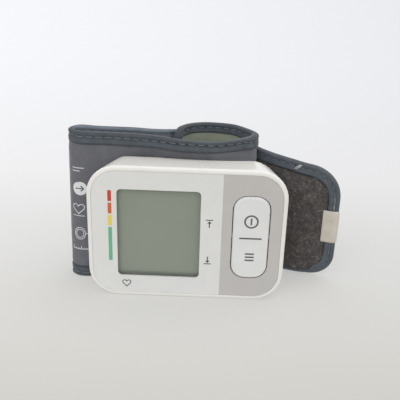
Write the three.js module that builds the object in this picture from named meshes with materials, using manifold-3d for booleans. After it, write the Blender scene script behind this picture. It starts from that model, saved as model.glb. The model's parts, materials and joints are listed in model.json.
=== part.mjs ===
// Wrist blood pressure monitor: a two-part housing with a display and a rocker key, on a wrapped cuff.
// Millimetres. X runs to the reader's right, Y away from the reader, Z up. It stands on z = 0.
import * as THREE from 'three';
import Module from 'manifold-3d';

const wasm = await Module();
wasm.setup();

// Housing
const FACE_WIDTH = 84;
const FACE_HEIGHT = 60;
const CORNER_RADIUS = 12.75;
const REAR_LEFT_CORNER = 8;
const REAR_RIGHT_CORNER = 13.5;
const EDGE_ROUND = 1.1;
const EDGE_LIP = 1.6;
const RIM = 1.85;
const SIDE_WALL = 2;
const WALL = 1.6;
const FRONT_DEPTH = 7;
const HOUSING_DEPTH = 19.5;
const ORIGIN_DEPTH = 4;
const TAPER_LEFT = 7;
const TAPER_RIGHT = 2.5;
const TAPER_TOP = 1.8;
const SADDLE_X = 8;
const SADDLE_DEPTH = 16;
const SADDLE_RADIUS = 100;

// Face
const PANEL_THICKNESS = 0.8;
const FACE_WALL = 1.6;
const PANEL_SPLIT_INSET = 27.2;
const PANEL_SPLIT_X = FACE_WIDTH / 2 - PANEL_SPLIT_INSET;
const WINDOW_LEFT_MARGIN = 12.65;
const WINDOW_RIGHT_MARGIN = 36.2;
const WINDOW_END_MARGIN = 9.9;
const WINDOW_WIDTH = FACE_WIDTH - WINDOW_LEFT_MARGIN - WINDOW_RIGHT_MARGIN;
const WINDOW_HEIGHT = FACE_HEIGHT - 2 * WINDOW_END_MARGIN;
const WINDOW_X = (WINDOW_LEFT_MARGIN - WINDOW_RIGHT_MARGIN) / 2;
const WINDOW_CORNER = 1.8;
const WINDOW_SEAT_CORNER = 1.5;
const WINDOW_LAP = 1;
const WINDOW_THICKNESS = 1.2;
const GLASS_LAP = 1.5;
const GLASS_THICKNESS = 2.2;
const HOLDER_WALL = 0.7;
const HOLDER_LIP = 0.6;
const STRIP_INSET = 1.85;

// Rocker key
const KEY_WIDTH = 15.2;
const KEY_END_MARGIN = 11.2;
const KEY_HEIGHT = FACE_HEIGHT - 2 * KEY_END_MARGIN;
const KEY_INSET = 14.9;
const KEY_X = FACE_WIDTH / 2 - KEY_INSET;
const KEY_CORNER = 5.8;
const KEY_PROUD = 0.6;
const KEY_THICKNESS = 4;
const KEY_PIVOT_DEPTH = 2.2;
const KEY_PIN_RADIUS = 0.9;
const KEY_PIN_REACH = 2.2;
const KEY_MARK_WIDTH = 9.6;
const SWITCH_INSET = 5.8;
const SWITCH_SPACING = KEY_HEIGHT - 2 * SWITCH_INSET;
const SWITCH_SIZE = 6;
const SWITCH_BODY = 3.1;
const SWITCH_STEM = 0.9;
const KEY_TRAVEL = 0.65;
const KEY_POST = 0.55;

// Circuit board
const BOARD_WIDTH = 34.5;
const BOARD_INSET = 3.5;
const BOARD_RIGHT = FACE_WIDTH / 2 - BOARD_INSET;
const BOARD_LEFT = BOARD_RIGHT - BOARD_WIDTH;
const BOARD_END_MARGIN = 13.4;
const BOARD_HEIGHT = FACE_HEIGHT - 2 * BOARD_END_MARGIN;
const BOARD_THICKNESS = 1.2;
const CHIP_SIZE = 9;
const SENSOR_WIDTH = 6.5;
const SENSOR_HEIGHT = 7;
const SENSOR_GAP = 1;
const SENSOR_PORT = 3;

// Power
const CELL_RADIUS = 5.25;
const CELL_END_MARGIN = 7.75;
const CELL_LENGTH = FACE_HEIGHT - 2 * CELL_END_MARGIN;
const CELL_NUB = 0.9;
const CELL_NUB_RADIUS = 1.9;
const CELL_DEPTH = 10.9;
const CELL_INSET = 11.5;
const CELL_1_X = CELL_INSET - FACE_WIDTH / 2;
const CELL_PITCH = 11.1;
const CONTACT_ROOM = 2.85;
const CONTACT_THICKNESS = 0.3;
const SPRING_WIRE = 0.5;
const SPRING_TURNS = 2.2;
const COVER_LOW = 5.2;
const COVER_NEAR = 7.6;
const COVER_FAR = 15.6;

// Air system
const PUMP_RADIUS = 4.4;
const PUMP_DEPTH = 9.85;
const PUMP_HEIGHT = 7.3;
const PUMP_INSET = 34;
const PUMP_HEAD_X = FACE_WIDTH / 2 - PUMP_INSET;
const PUMP_HEAD_LENGTH = 10;
const MOTOR_END_INSET = 11.3;
const PUMP_MOTOR_LENGTH = FACE_WIDTH / 2 - MOTOR_END_INSET - PUMP_HEAD_X - PUMP_HEAD_LENGTH;
const CRANK_THROW = 0.8;
const CRANK_RADIUS = 1.8;
const SHAFT_RADIUS = 0.8;
const HOSE_ALONG = 4;
const HOSE_X = PUMP_HEAD_X + HOSE_ALONG;
const HOSE_DEPTH = 12.5;
const HOSE_RADIUS = 1.9;
const NOZZLE_RADIUS = 1.1;
const NOZZLE_REACH = 2.6;
const MANIFOLD_WIDTH = 7;
const MANIFOLD_HEIGHT = 11;
const MANIFOLD_NEAR = 10.4;
const MANIFOLD_FAR = 14.3;
const VALVE_LENGTH = 14;
const VALVE_SIZE = 7.6;
const VALVE_NEAR = 6.4;
const VALVE_INSET = 10.8;
const VALVE_LOW = FACE_HEIGHT - VALVE_INSET;
const PLUNGER_RADIUS = 1.6;
const PORT_SHIFT = 2;
const PORT_X = HOSE_X - PORT_SHIFT;
const PORT_RADIUS = 2.6;
const SPOUT_RADIUS = 1.3;

// Fasteners
const SCREW_RADIUS = 1.05;
const SCREW_HEAD_RADIUS = 2.1;
const SCREW_HEAD = 1.6;
const SCREW_SEAT = 12;
const SCREW_TIP = 3.5;
const BOSS_WALL = 1.3;
const CORNER_SCREW_INSET = 7.5;
const CORNER_SCREW_HEIGHT = 8.5;
const MIDDLE_SCREW_GAP = 6;
const MIDDLE_SCREW_HEIGHT = 4.7;
const BOARD_SCREW_X = 9.5;
const BOARD_SCREW_INSET = 2.5;

// Cuff: layers are counted from its middle surface, outer side positive
const CUFF_HALF = 1.7;
const BINDING_SKIN = 0.4;
const BINDING_WIDTH = 5;
const FABRIC = 0.6;
const LAYER_GAP = 0.1;
const STAY = 0.4;
const BLADDER = 0.5;
const HOOK_PILE = 0.8;
const FLAP_TOP_CORNER = 15;
const FLAP_LOW_CORNER = 10.5;
const TIP_CORNER = 6;
const TAB_LENGTH = 7.3;
const TAB_SKIN = 0.4;
const TAB_LOW = 19.2;
const TAB_HIGH = 34.7;
const PEG_RADIUS = 1.8;
const PEG_HEAD = 0.6;
const PEG_SPREAD = 26;
const PEG_ROOM = 3.95;
const PEG_PORT_GAP = 6;

// Fits
const PANEL_GAP = 0.1;
const KEY_GAP = 0.4;
const PLAY = 0.3;
const LOOSE = 0.2;
const MOUNT_GAP = 0.3;

// Route of the cuff's middle surface seen from above, from its inner end round the wrist loop, along the
// back of the housing, round the left fold and back to the free flap: x, and distance behind the line
// where the cuff lies closest to the housing.
const ROUTE = [
  [-7.8, 16.9], [-6.3, 21.1], [-4.6, 25.7], [-1.2, 29.3], [4.8, 31.2], [12.5, 31.3], [19.5, 29.3], [25.3, 24.3],
  [28.6, 20], [28.9, 17], [26.4, 12.6], [22.6, 7.4], [17.5, 3.2], [11, 0.5], [3, 0.15], [-6, 1],
  [-15, 3], [-24, 3.95], [-34, 4], [-43, 4], [-49.8, 4.3], [-52.7, 7.5], [-49.8, 10.8],
  [-42.5, 11.7], [-34, 13.8], [-26, 16], [-18, 18.2], [-13.4, 20.8], [-9.6, 25.6], [-5.8, 31], [-0.3, 34.5],
  [7, 35.2], [13.5, 35.2], [21.2, 32.7], [28, 27.1], [32.8, 22.1], [38.5, 17.1], [45.5, 12.6], [53, 9.1],
  [61, 6.6], [69.5, 4.2],
];
const STAY_FROM = 1;
const STAY_TO = 17;
const BLADDER_TO = 18;
const STRAP_STOP = 23;
const FLAP_STOP = 34;
// Upper and lower edge of the cuff at stops of the route
const TOP_EDGE = [
  [0, 65.3], [2, 65.7], [4, 66.3], [6, 66.2], [8, 65.6], [10, 65.5], [12, 65.7], [15, 65.7], [17, 66.4],
  [19, 67.3], [20, 67.7], [21, 68.4], [22, 68.8], [23, 68.2], [25, 66.9], [27, 65.2],
  [29, 62.6], [31, 60.6], [34, 57.6], [37, 56], [38, 54.8], [39, 54.2], [40, 54.2],
];
const BOTTOM_EDGE = [[0, 0], [25, 0], [29, 1], [34, 1.3], [37, 1.6], [38, 2.2], [39, 2.6], [40, 2.6]];
const FLAP_SHORT = 2;
// How far forward the foot of the left fold stands, at stops of the route; its upper edge doesn't lean
const LEAN = [
  [18, 0], [18.2, 0.5], [18.4, 1.4], [18.6, 2.6], [18.8, 3.9], [19, 4.9], [19.25, 5.5], [19.5, 5.6], [20, 5.6],
  [20.5, 5.6], [21, 5.5], [21.5, 4.7], [22, 3.3], [22.25, 2.4], [22.5, 1.5], [22.75, 0.6], [23, 0],
];
const LEAN_HEIGHT = 68;

const MID_HEIGHT = FACE_HEIGHT / 2;

// Places that repeat above and below the middle
function mirrored(x, rise) {
  return [[x, MID_HEIGHT - rise], [x, MID_HEIGHT + rise]];
}

const SCREW_PLACES = [
  ...mirrored(FACE_WIDTH / 2 - CORNER_SCREW_INSET, MID_HEIGHT - CORNER_SCREW_HEIGHT),
  ...mirrored(PUMP_HEAD_X - MIDDLE_SCREW_GAP, MID_HEIGHT - MIDDLE_SCREW_HEIGHT),
];
const BOARD_SCREW_PLACES = mirrored(BOARD_LEFT + BOARD_SCREW_X, BOARD_HEIGHT / 2 - BOARD_SCREW_INSET);
const cell2X = CELL_1_X + CELL_PITCH;
const wallX = cell2X + CELL_RADIUS + 0.6;
const PEG_PLACES = [
  ...mirrored(wallX + PEG_ROOM, PEG_SPREAD / 2),
  ...mirrored(PORT_X - PEG_PORT_GAP, PEG_SPREAD / 2),
];

// Depth behind the face as a Y coordinate
function deep(depth) {
  return depth - ORIGIN_DEPTH;
}

// Closed solid through a row of rings of equal count, each ring wound the same way round
function skin(rings, flat) {
  const count = flat.length;
  const positions = [];
  const triangles = [];
  for (const ring of rings) {
    for (const point of ring) {
      positions.push(...point);
    }
  }
  for (let i = 0; i + 1 < rings.length; i++) {
    for (let j = 0; j < count; j++) {
      const k = (j + 1) % count;
      const a = i * count;
      const b = a + count;
      triangles.push([a + j, b + j, a + k], [a + k, b + j, b + k]);
    }
  }
  const contour = flat.map(([u, v]) => new THREE.Vector2(u, v));
  const last = (rings.length - 1) * count;
  for (const [p, q, r] of THREE.ShapeUtils.triangulateShape(contour, [])) {
    const ab = contour[q].clone().sub(contour[p]);
    const ac = contour[r].clone().sub(contour[p]);
    const face = ab.cross(ac) > 0 ? [p, q, r] : [p, r, q];
    triangles.push(face);
    triangles.push([last + face[0], last + face[2], last + face[1]]);
  }
  let volume = 0;
  const corner = (n) => new THREE.Vector3(...positions.slice(3 * n, 3 * n + 3));
  for (const [p, q, r] of triangles) {
    volume += corner(p).dot(corner(q).cross(corner(r)));
  }
  if (volume < 0) {
    for (const face of triangles) {
      face.reverse();
    }
  }
  const vertProperties = new Float32Array(positions);
  const triVerts = new Uint32Array(triangles.flat());
  return new wasm.Manifold(new wasm.Mesh({ numProp: 3, vertProperties, triVerts }));
}

// Rounded rectangle, counter-clockwise
function outline(left, right, low, high, radius, steps = 6, leftRadius = radius) {
  const corners = [
    [right - radius, high - radius, 0, radius],
    [left + leftRadius, high - leftRadius, 90, leftRadius],
    [left + leftRadius, low + leftRadius, 180, leftRadius],
    [right - radius, low + radius, 270, radius],
  ];
  const points = [];
  for (const [u, v, start, round] of corners) {
    for (let k = 0; k <= steps; k++) {
      const angle = THREE.MathUtils.degToRad(start + (90 * k) / steps);
      points.push([u + round * Math.cos(angle), v + round * Math.sin(angle)]);
    }
  }
  return points;
}

function circle(u, v, radius, sides) {
  const points = [];
  for (let k = 0; k < sides; k++) {
    const angle = (2 * Math.PI * k) / sides;
    points.push([u + radius * Math.cos(angle), v + radius * Math.sin(angle)]);
  }
  return points;
}

// Places a flat point (u, v) at a distance t along an axis
const PLACE = {
  x: (u, v, t) => [t, u, v],
  y: (u, v, t) => [u, t, v],
  z: (u, v, t) => [u, v, t],
};

// Solid through flat rings set along an axis: sections are [distance, ring]
function loft(axis, sections) {
  const rings = sections.map(([t, ring]) => ring.map(([u, v]) => PLACE[axis](u, v, t)));
  return skin(rings, sections[0][1]);
}

function prism(axis, ring, from, to) {
  return loft(axis, [[from, ring], [to, ring]]);
}

function rod(axis, u, v, radius, from, to, sides = 16) {
  return prism(axis, circle(u, v, radius, sides), from, to);
}

function block(x0, x1, y0, y1, z0, z1) {
  return prism('z', [[x0, y0], [x1, y0], [x1, y1], [x0, y1]], z0, z1);
}

const union = (first, ...others) => others.reduce((whole, one) => whole.add(one), first);
const cut = (first, ...others) => others.reduce((whole, one) => whole.subtract(one), first);

const part = new THREE.Group();
part.name = 'wrist_monitor';

function add(name, solid, color, roughness, metalness = 0) {
  const mesh = solid.getMesh();
  const geometry = new THREE.BufferGeometry();
  geometry.setAttribute('position', new THREE.BufferAttribute(new Float32Array(mesh.vertProperties), 3));
  geometry.setIndex(new THREE.BufferAttribute(new Uint32Array(mesh.triVerts), 1));
  const material = new THREE.MeshStandardMaterial({ color, roughness, metalness });
  const node = new THREE.Mesh(geometry, material);
  node.name = name;
  part.add(node);
}

// Housing outlines
const HOUSING_CORNER_STEPS = 9;

// Cross-section of the housing at a depth: it narrows evenly behind the lip of the front edge
function housingOutline(depth, inset) {
  const along = Math.max(0, (depth - EDGE_LIP) / (HOUSING_DEPTH - EDGE_LIP));
  const left = -FACE_WIDTH / 2 + TAPER_LEFT * along + inset;
  const right = FACE_WIDTH / 2 - TAPER_RIGHT * along - inset;
  const low = inset;
  const high = FACE_HEIGHT - TAPER_TOP * along - inset;
  const leftRadius = THREE.MathUtils.lerp(CORNER_RADIUS, REAR_LEFT_CORNER, along) - inset;
  const rightRadius = THREE.MathUtils.lerp(CORNER_RADIUS, REAR_RIGHT_CORNER, along) - inset;
  return outline(left, right, low, high, rightRadius, HOUSING_CORNER_STEPS, leftRadius);
}

function faceOutline(inset) {
  return housingOutline(0, inset);
}

function rearSolid(inset, from, to, saddleOffset) {
  const sections = [
    [deep(from), housingOutline(from, inset)],
    [deep(to - EDGE_ROUND), housingOutline(to - EDGE_ROUND, inset)],
    [deep(to), housingOutline(to, inset + EDGE_ROUND)],
  ];
  const middle = deep(SADDLE_DEPTH) + SADDLE_RADIUS;
  const saddle = rod('z', SADDLE_X, middle, SADDLE_RADIUS + saddleOffset, -5, FACE_HEIGHT + 5, 120);
  return cut(loft('y', sections), saddle);
}

function saddleDepth(x) {
  return SADDLE_DEPTH + SADDLE_RADIUS - Math.sqrt(SADDLE_RADIUS ** 2 - (x - SADDLE_X) ** 2);
}

const insideFace = PANEL_THICKNESS + FACE_WALL;
const keyLow = MID_HEIGHT - KEY_HEIGHT / 2;
const keyHigh = MID_HEIGHT + KEY_HEIGHT / 2;

function windowOutline(margin) {
  const half = WINDOW_WIDTH / 2 + margin;
  const rise = WINDOW_HEIGHT / 2 + margin;
  const radius = margin > 0 ? WINDOW_SEAT_CORNER : WINDOW_CORNER;
  return outline(WINDOW_X - half, WINDOW_X + half, MID_HEIGHT - rise, MID_HEIGHT + rise, radius, 4);
}

function keyOutline(margin) {
  const half = KEY_WIDTH / 2 + margin;
  return outline(KEY_X - half, KEY_X + half, keyLow - margin, keyHigh + margin, KEY_CORNER + margin, 5);
}

// Front housing: rim, recess for the face panels, openings, bosses, board posts and key bearings
const boardFace = KEY_THICKNESS - KEY_PROUD + KEY_POST + KEY_TRAVEL + SWITCH_STEM + SWITCH_BODY;
const bossRadius = SCREW_RADIUS + LOOSE + BOSS_WALL;
const rearBossRadius = SCREW_HEAD_RADIUS + LOOSE + 0.9;
const boardPostRadius = SCREW_RADIUS + 1;
const pivotY = deep(KEY_PIVOT_DEPTH);
{
  const edge = [];
  for (let k = 0; k <= 3; k++) {
    const angle = (k * Math.PI) / 6;
    edge.push([deep(EDGE_ROUND * (1 - Math.cos(angle))), faceOutline(EDGE_ROUND * (1 - Math.sin(angle)))]);
  }
  edge.push([deep(EDGE_LIP), faceOutline(0)], [deep(FRONT_DEPTH), housingOutline(FRONT_DEPTH, 0)]);
  const cavity = [insideFace, FRONT_DEPTH + 1].map((depth) => [deep(depth), housingOutline(depth, SIDE_WALL)]);
  let front = cut(
    loft('y', edge),
    loft('y', cavity),
    prism('y', faceOutline(RIM), deep(-1), deep(PANEL_THICKNESS)),
    prism('y', windowOutline(WINDOW_LAP + LOOSE), deep(0), deep(insideFace + 0.5)),
    prism('y', keyOutline(KEY_GAP), deep(0), deep(insideFace + 0.5)),
  );
  for (const [x, z] of SCREW_PLACES) {
    front = front.add(rod('y', x, z, bossRadius, deep(insideFace - 0.4), deep(FRONT_DEPTH)));
  }
  for (const [x, z] of BOARD_SCREW_PLACES) {
    front = front.add(rod('y', x, z, boardPostRadius, deep(insideFace - 0.4), deep(boardFace)));
  }
  for (const z of [MID_HEIGHT - SWITCH_SPACING / 2, MID_HEIGHT + SWITCH_SPACING / 2]) {
    front = front.add(rod('y', BOARD_RIGHT - 1.4, z, 1.2, deep(insideFace - 0.4), deep(boardFace)));
  }
  const pinHalf = KEY_WIDTH / 2 + KEY_PIN_REACH + PLAY;
  for (const side of [-1, 1]) {
    const inner = KEY_X + side * (KEY_WIDTH / 2 + KEY_GAP + 0.2);
    const outer = KEY_X + side * (pinHalf + 0.8);
    const near = deep(insideFace - 0.4);
    const far = deep(KEY_PIVOT_DEPTH + 2.2);
    const [x0, x1] = [Math.min(inner, outer), Math.max(inner, outer)];
    front = front.add(block(x0, x1, near, far, MID_HEIGHT - 2.4, MID_HEIGHT + 2.4));
  }
  const slot = KEY_PIN_RADIUS + LOOSE;
  front = cut(
    front,
    block(KEY_X - pinHalf, KEY_X + pinHalf, pivotY - slot, pivotY + 3, MID_HEIGHT - slot, MID_HEIGHT + slot),
  );
  for (const [x, z] of SCREW_PLACES) {
    const bore = SCREW_RADIUS + LOOSE;
    front = front.subtract(rod('y', x, z, bore, deep(SCREW_TIP - 0.4), deep(FRONT_DEPTH + 1)));
  }
  for (const [x, z] of BOARD_SCREW_PLACES) {
    front = front.subtract(rod('y', x, z, SCREW_RADIUS - 0.1, deep(SCREW_TIP), deep(boardFace + 1)));
  }
  add('front_housing', front, 0xe9e8e4, 0.45);
}

// Face panels
{
  const sheet = prism('y', faceOutline(RIM + PANEL_GAP), deep(0), deep(PANEL_THICKNESS));
  const reach = FACE_WIDTH;
  const left = block(-reach, PANEL_SPLIT_X, deep(-1), deep(2), -1, FACE_HEIGHT + 1);
  const right = block(PANEL_SPLIT_X, reach, deep(-1), deep(2), -1, FACE_HEIGHT + 1);
  const view = prism('y', windowOutline(0), deep(-1), deep(2));
  const keyhole = prism('y', keyOutline(KEY_GAP), deep(-1), deep(2));
  add('display_panel', cut(sheet.intersect(left), view), 0xd4d4d1, 0.4);
  add('control_panel', cut(sheet.intersect(right), keyhole), 0xb5b6b6, 0.45);
}

// Display
const glassFar = insideFace + GLASS_THICKNESS;
const holderFar = glassFar + HOLDER_LIP;
const stripX = WINDOW_X + WINDOW_WIDTH / 2 + GLASS_LAP - 1;
{
  const windowNear = deep(PANEL_THICKNESS);
  const pane = prism('y', windowOutline(WINDOW_LAP), windowNear, windowNear + WINDOW_THICKNESS);
  add('display_window', pane, 0xd9e2e2, 0.1);
  add('display_glass', prism('y', windowOutline(GLASS_LAP), deep(insideFace), deep(glassFar)), 0x8a917f, 0.3);
  const ring = prism('y', windowOutline(GLASS_LAP + LOOSE + HOLDER_WALL), deep(insideFace), deep(holderFar));
  const seat = prism('y', windowOutline(GLASS_LAP + LOOSE), deep(insideFace - 1), deep(glassFar));
  const back = prism('y', windowOutline(-1), deep(0), deep(holderFar + 1));
  const stripLow = MID_HEIGHT - WINDOW_HEIGHT / 2 + STRIP_INSET;
  const stripHigh = MID_HEIGHT + WINDOW_HEIGHT / 2 - STRIP_INSET;
  const slotLow = stripLow - LOOSE * 2;
  const slotHigh = stripHigh + LOOSE * 2;
  const stripSlot = block(stripX - 1.1, stripX + 1.1, deep(0), deep(holderFar + 1), slotLow, slotHigh);
  add('display_holder', cut(ring, seat, back, stripSlot), 0xcfcfcc, 0.6);
  const strip = block(stripX - 0.9, stripX + 0.9, deep(glassFar), deep(boardFace), stripLow, stripHigh);
  add('contact_strip', strip, 0x8c8f96, 0.7);
}

// Circuit board with switches, chip and sensor
const boardBack = boardFace + BOARD_THICKNESS;
const boardLow = MID_HEIGHT - BOARD_HEIGHT / 2;
const boardHigh = MID_HEIGHT + BOARD_HEIGHT / 2;
{
  let board = block(BOARD_LEFT, BOARD_RIGHT, deep(boardFace), deep(boardBack), boardLow, boardHigh);
  for (const [x, z] of BOARD_SCREW_PLACES) {
    board = board.subtract(rod('y', x, z, SCREW_RADIUS + LOOSE, deep(boardFace - 1), deep(boardBack + 1)));
  }
  for (const [x, z] of SCREW_PLACES) {
    board = board.subtract(rod('y', x, z, rearBossRadius + LOOSE, deep(boardFace - 1), deep(boardBack + 1)));
  }
  add('main_board', board, 0x2f6b45, 0.5);
  BOARD_SCREW_PLACES.forEach(([x, z], index) => {
    const shank = rod('y', x, z, SCREW_RADIUS - 0.3, deep(SCREW_TIP + 1), deep(boardBack + 0.4));
    const head = rod('y', x, z, SCREW_RADIUS + 0.75, deep(boardBack), deep(boardBack + 0.55));
    add(`board_screw_${index + 1}`, shank.add(head), 0xb9bcc0, 0.35, 1);
  });
  const half = SWITCH_SIZE / 2;
  const bodyNear = boardFace - SWITCH_BODY;
  const names = [['start_switch', SWITCH_SPACING / 2], ['memory_switch', -SWITCH_SPACING / 2]];
  for (const [name, rise] of names) {
    const z = MID_HEIGHT + rise;
    const body = block(KEY_X - half, KEY_X + half, deep(bodyNear), deep(boardFace), z - half, z + half);
    const stem = rod('y', KEY_X, z, 1.7, deep(bodyNear - SWITCH_STEM), deep(bodyNear + 0.5));
    add(name, body.add(stem), 0x2b2b2d, 0.5);
  }
  const portLeft = HOSE_X + MANIFOLD_WIDTH / 2;
  const canLeft = portLeft + SENSOR_PORT;
  const canRight = canLeft + SENSOR_WIDTH;
  const canLow = MID_HEIGHT - SENSOR_HEIGHT / 2;
  const can = block(canLeft, canRight, deep(boardBack), deep(boardBack + 3.4), canLow, canLow + SENSOR_HEIGHT);
  const port = rod('x', deep(boardBack + 2), MID_HEIGHT, 0.9, portLeft, canLeft + 0.5);
  const chipLeft = canRight + SENSOR_GAP;
  const chipRight = chipLeft + CHIP_SIZE;
  const chipLow = MID_HEIGHT - CHIP_SIZE / 2;
  const chip = block(chipLeft, chipRight, deep(boardBack), deep(boardBack + 1.4), chipLow, chipLow + CHIP_SIZE);
  add('controller_chip', chip, 0x1e1f21, 0.4);
  add('pressure_sensor', can.add(port), 0xd8d5c8, 0.5);
}

// Rocker key: one cap on two pins, pressed at its upper or lower half
{
  const top = deep(-KEY_PROUD);
  const cap = loft('y', [
    [top, keyOutline(-0.8)],
    [top + 0.2, keyOutline(-0.3)],
    [top + 0.7, keyOutline(0)],
    [top + KEY_THICKNESS, keyOutline(0)],
  ]);
  const reach = KEY_WIDTH / 2 + KEY_PIN_REACH;
  const pins = rod('x', pivotY, MID_HEIGHT, KEY_PIN_RADIUS, KEY_X - reach, KEY_X + reach);
  let key = cap.add(pins);
  const under = top + KEY_THICKNESS;
  for (const rise of [-SWITCH_SPACING / 2, SWITCH_SPACING / 2]) {
    key = key.add(rod('y', KEY_X, MID_HEIGHT + rise, 1.6, under - 0.5, under + KEY_POST));
  }
  const half = KEY_MARK_WIDTH / 2;
  const mark = block(KEY_X - half, KEY_X + half, top - 1, top + 0.25, MID_HEIGHT - 0.4, MID_HEIGHT + 0.4);
  add('rocker_key', cut(key, mark), 0xd7d8d8, 0.45);
}

// Rear housing: tapered bowl with a saddle back, cell compartment, screw bosses and cuff holes
const cellLow = MID_HEIGHT - CELL_LENGTH / 2;
const cellHigh = MID_HEIGHT + CELL_LENGTH / 2;
const endLow = cellLow - CONTACT_ROOM - CONTACT_THICKNESS;
const endHigh = cellHigh + CONTACT_ROOM + CONTACT_THICKNESS;
const rearOuter = rearSolid(0, FRONT_DEPTH, HOUSING_DEPTH, 0);
const rearShell = rearOuter.subtract(rearSolid(WALL, FRONT_DEPTH - 2, HOUSING_DEPTH - WALL, WALL));
const far = deep(HOUSING_DEPTH + 1);

function coverBlock(gap) {
  const low = COVER_LOW + gap;
  const high = FACE_HEIGHT - COVER_LOW - gap;
  return block(-FACE_WIDTH, CELL_1_X, deep(COVER_NEAR + gap), deep(COVER_FAR - gap), low, high);
}

{
  const rib = 0.9;
  const ribs = union(
    block(wallX, wallX + 1.2, deep(holderFar + 0.3), far, endLow - rib, endHigh + rib),
    block(-FACE_WIDTH / 2, wallX + 0.5, deep(FRONT_DEPTH), far, endLow - rib, endLow),
    block(-FACE_WIDTH / 2, wallX + 0.5, deep(FRONT_DEPTH), far, endHigh, endHigh + rib),
  );
  const ribLow = SIDE_WALL + 1.2;
  const ribHigh = FACE_HEIGHT - ribLow;
  const frontRoom = block(wallX - 1, wallX + 2, deep(holderFar), deep(FRONT_DEPTH + 1), ribLow, ribHigh);
  const ribRoom = union(rearOuter, frontRoom);
  let rear = rearShell.add(ribs.intersect(ribRoom));
  for (const [x, z] of SCREW_PLACES) {
    const boss = rod('y', x, z, rearBossRadius, deep(FRONT_DEPTH), far);
    rear = rear.add(boss.intersect(rearOuter));
  }
  for (const [x, z] of SCREW_PLACES) {
    const bore = rod('y', x, z, SCREW_RADIUS + LOOSE, deep(FRONT_DEPTH - 1), far);
    const seat = rod('y', x, z, SCREW_HEAD_RADIUS + LOOSE, deep(SCREW_SEAT), far);
    rear = cut(rear, bore, seat);
  }
  for (const [x, z] of PEG_PLACES) {
    rear = rear.subtract(rod('y', x, z, PEG_RADIUS + PLAY, deep(SADDLE_DEPTH - 3), far));
  }
  rear = rear.subtract(rod('y', PORT_X, MID_HEIGHT, PORT_RADIUS + PLAY, deep(SADDLE_DEPTH - 3), far));
  rear = rear.subtract(coverBlock(0));
  add('rear_housing', rear, 0xe4e2dc, 0.5);

  let cover = rearShell.intersect(coverBlock(LOOSE));
  for (const rise of [-4, 0, 4]) {
    const z = MID_HEIGHT + rise;
    const grip = block(-FACE_WIDTH, CELL_1_X, deep(9.5), deep(14.5), z - 0.7, z + 0.7);
    const lift = rearSolid(-0.4, FRONT_DEPTH, HOUSING_DEPTH, 0).intersect(grip);
    cover = cover.add(lift.subtract(rearSolid(0.5, FRONT_DEPTH, HOUSING_DEPTH, 0)));
  }
  add('battery_cover', cover, 0xe4e2dc, 0.5);
}

// Screws that close the housing
SCREW_PLACES.forEach(([x, z], index) => {
  const shank = rod('y', x, z, SCREW_RADIUS, deep(SCREW_TIP), deep(SCREW_SEAT + 0.5));
  const head = rod('y', x, z, SCREW_HEAD_RADIUS, deep(SCREW_SEAT), deep(SCREW_SEAT + SCREW_HEAD));
  const drive = union(
    block(x - 1.3, x + 1.3, deep(SCREW_SEAT + 0.8), far, z - 0.3, z + 0.3),
    block(x - 0.3, x + 0.3, deep(SCREW_SEAT + 0.8), far, z - 1.3, z + 1.3),
  );
  add(`housing_screw_${index + 1}`, shank.add(head).subtract(drive), 0xa9adb2, 0.35, 1);
});

// Cells and their contacts
const cellY = deep(CELL_DEPTH);

function cell(x, up) {
  const base = up ? cellLow : cellLow + CELL_NUB;
  const body = rod('z', x, cellY, CELL_RADIUS, base, base + CELL_LENGTH - CELL_NUB, 28);
  const nub = up
    ? rod('z', x, cellY, CELL_NUB_RADIUS, cellHigh - CELL_NUB - 0.5, cellHigh)
    : rod('z', x, cellY, CELL_NUB_RADIUS, cellLow, cellLow + CELL_NUB + 0.5);
  return body.add(nub);
}

// Conical contact spring from a plate at one height to a cell end at another
function spring(x, plate, tip) {
  const steps = 12;
  const rings = [];
  const count = Math.round(SPRING_TURNS * steps);
  const flat = circle(0, 0, SPRING_WIRE / 2, 6);
  const middle = [];
  const inset = Math.sign(tip - plate) * (SPRING_WIRE / 2);
  for (let k = 0; k <= count; k++) {
    const along = k / count;
    const angle = (2 * Math.PI * k) / steps;
    const radius = 3.2 - 1.4 * along;
    const z = plate + (tip - plate - inset) * along;
    const out = new THREE.Vector3(Math.cos(angle), Math.sin(angle), 0);
    const centre = new THREE.Vector3(x, cellY, z).addScaledVector(out, radius);
    middle.push(centre);
    rings.push(flat.map(([u, v]) => [centre.x + out.x * u, centre.y + out.y * u, centre.z + v]));
  }
  let gap = Infinity;
  for (let i = 0; i < middle.length; i++) {
    for (let j = i + steps / 2; j < middle.length; j++) {
      gap = Math.min(gap, middle[i].distanceTo(middle[j]) - SPRING_WIRE);
    }
  }
  console.log(`contact spring: least gap to itself ${gap.toFixed(2)} mm`);
  return skin(rings, flat);
}

add('battery_1', cell(CELL_1_X, true), 0x3a3f46, 0.35, 0.6);
add('battery_2', cell(cell2X, false), 0x3a3f46, 0.35, 0.6);
{
  const near = 1.6;
  const wide = 3.6;
  const rise = 2.6;
  const plateLow = endLow + CONTACT_THICKNESS;
  const plateHigh = endHigh - CONTACT_THICKNESS;
  const bridge = union(
    block(CELL_1_X - near, cell2X + wide, cellY - rise, cellY + rise, endLow, plateLow),
    rod('z', cell2X, cellY, 2.4, plateLow - 0.1, cellLow - 0.05),
    spring(CELL_1_X, plateLow, cellLow - 0.05),
  );
  add('cell_bridge', bridge, 0xc4c7c9, 0.3, 1);
  const positive = union(
    block(CELL_1_X - near, CELL_1_X + wide, cellY - rise, cellY + rise, plateHigh, endHigh),
    rod('z', CELL_1_X, cellY, 2.4, cellHigh + 0.05, plateHigh + 0.1),
  );
  add('cell_contact_positive', positive, 0xc4c7c9, 0.3, 1);
  const negative = union(
    block(cell2X - near, cell2X + wide, cellY - rise, cellY + rise, plateHigh, endHigh),
    spring(cell2X, plateHigh, cellHigh + 0.05),
  );
  add('cell_contact_negative', negative, 0xc4c7c9, 0.3, 1);
}

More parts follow.
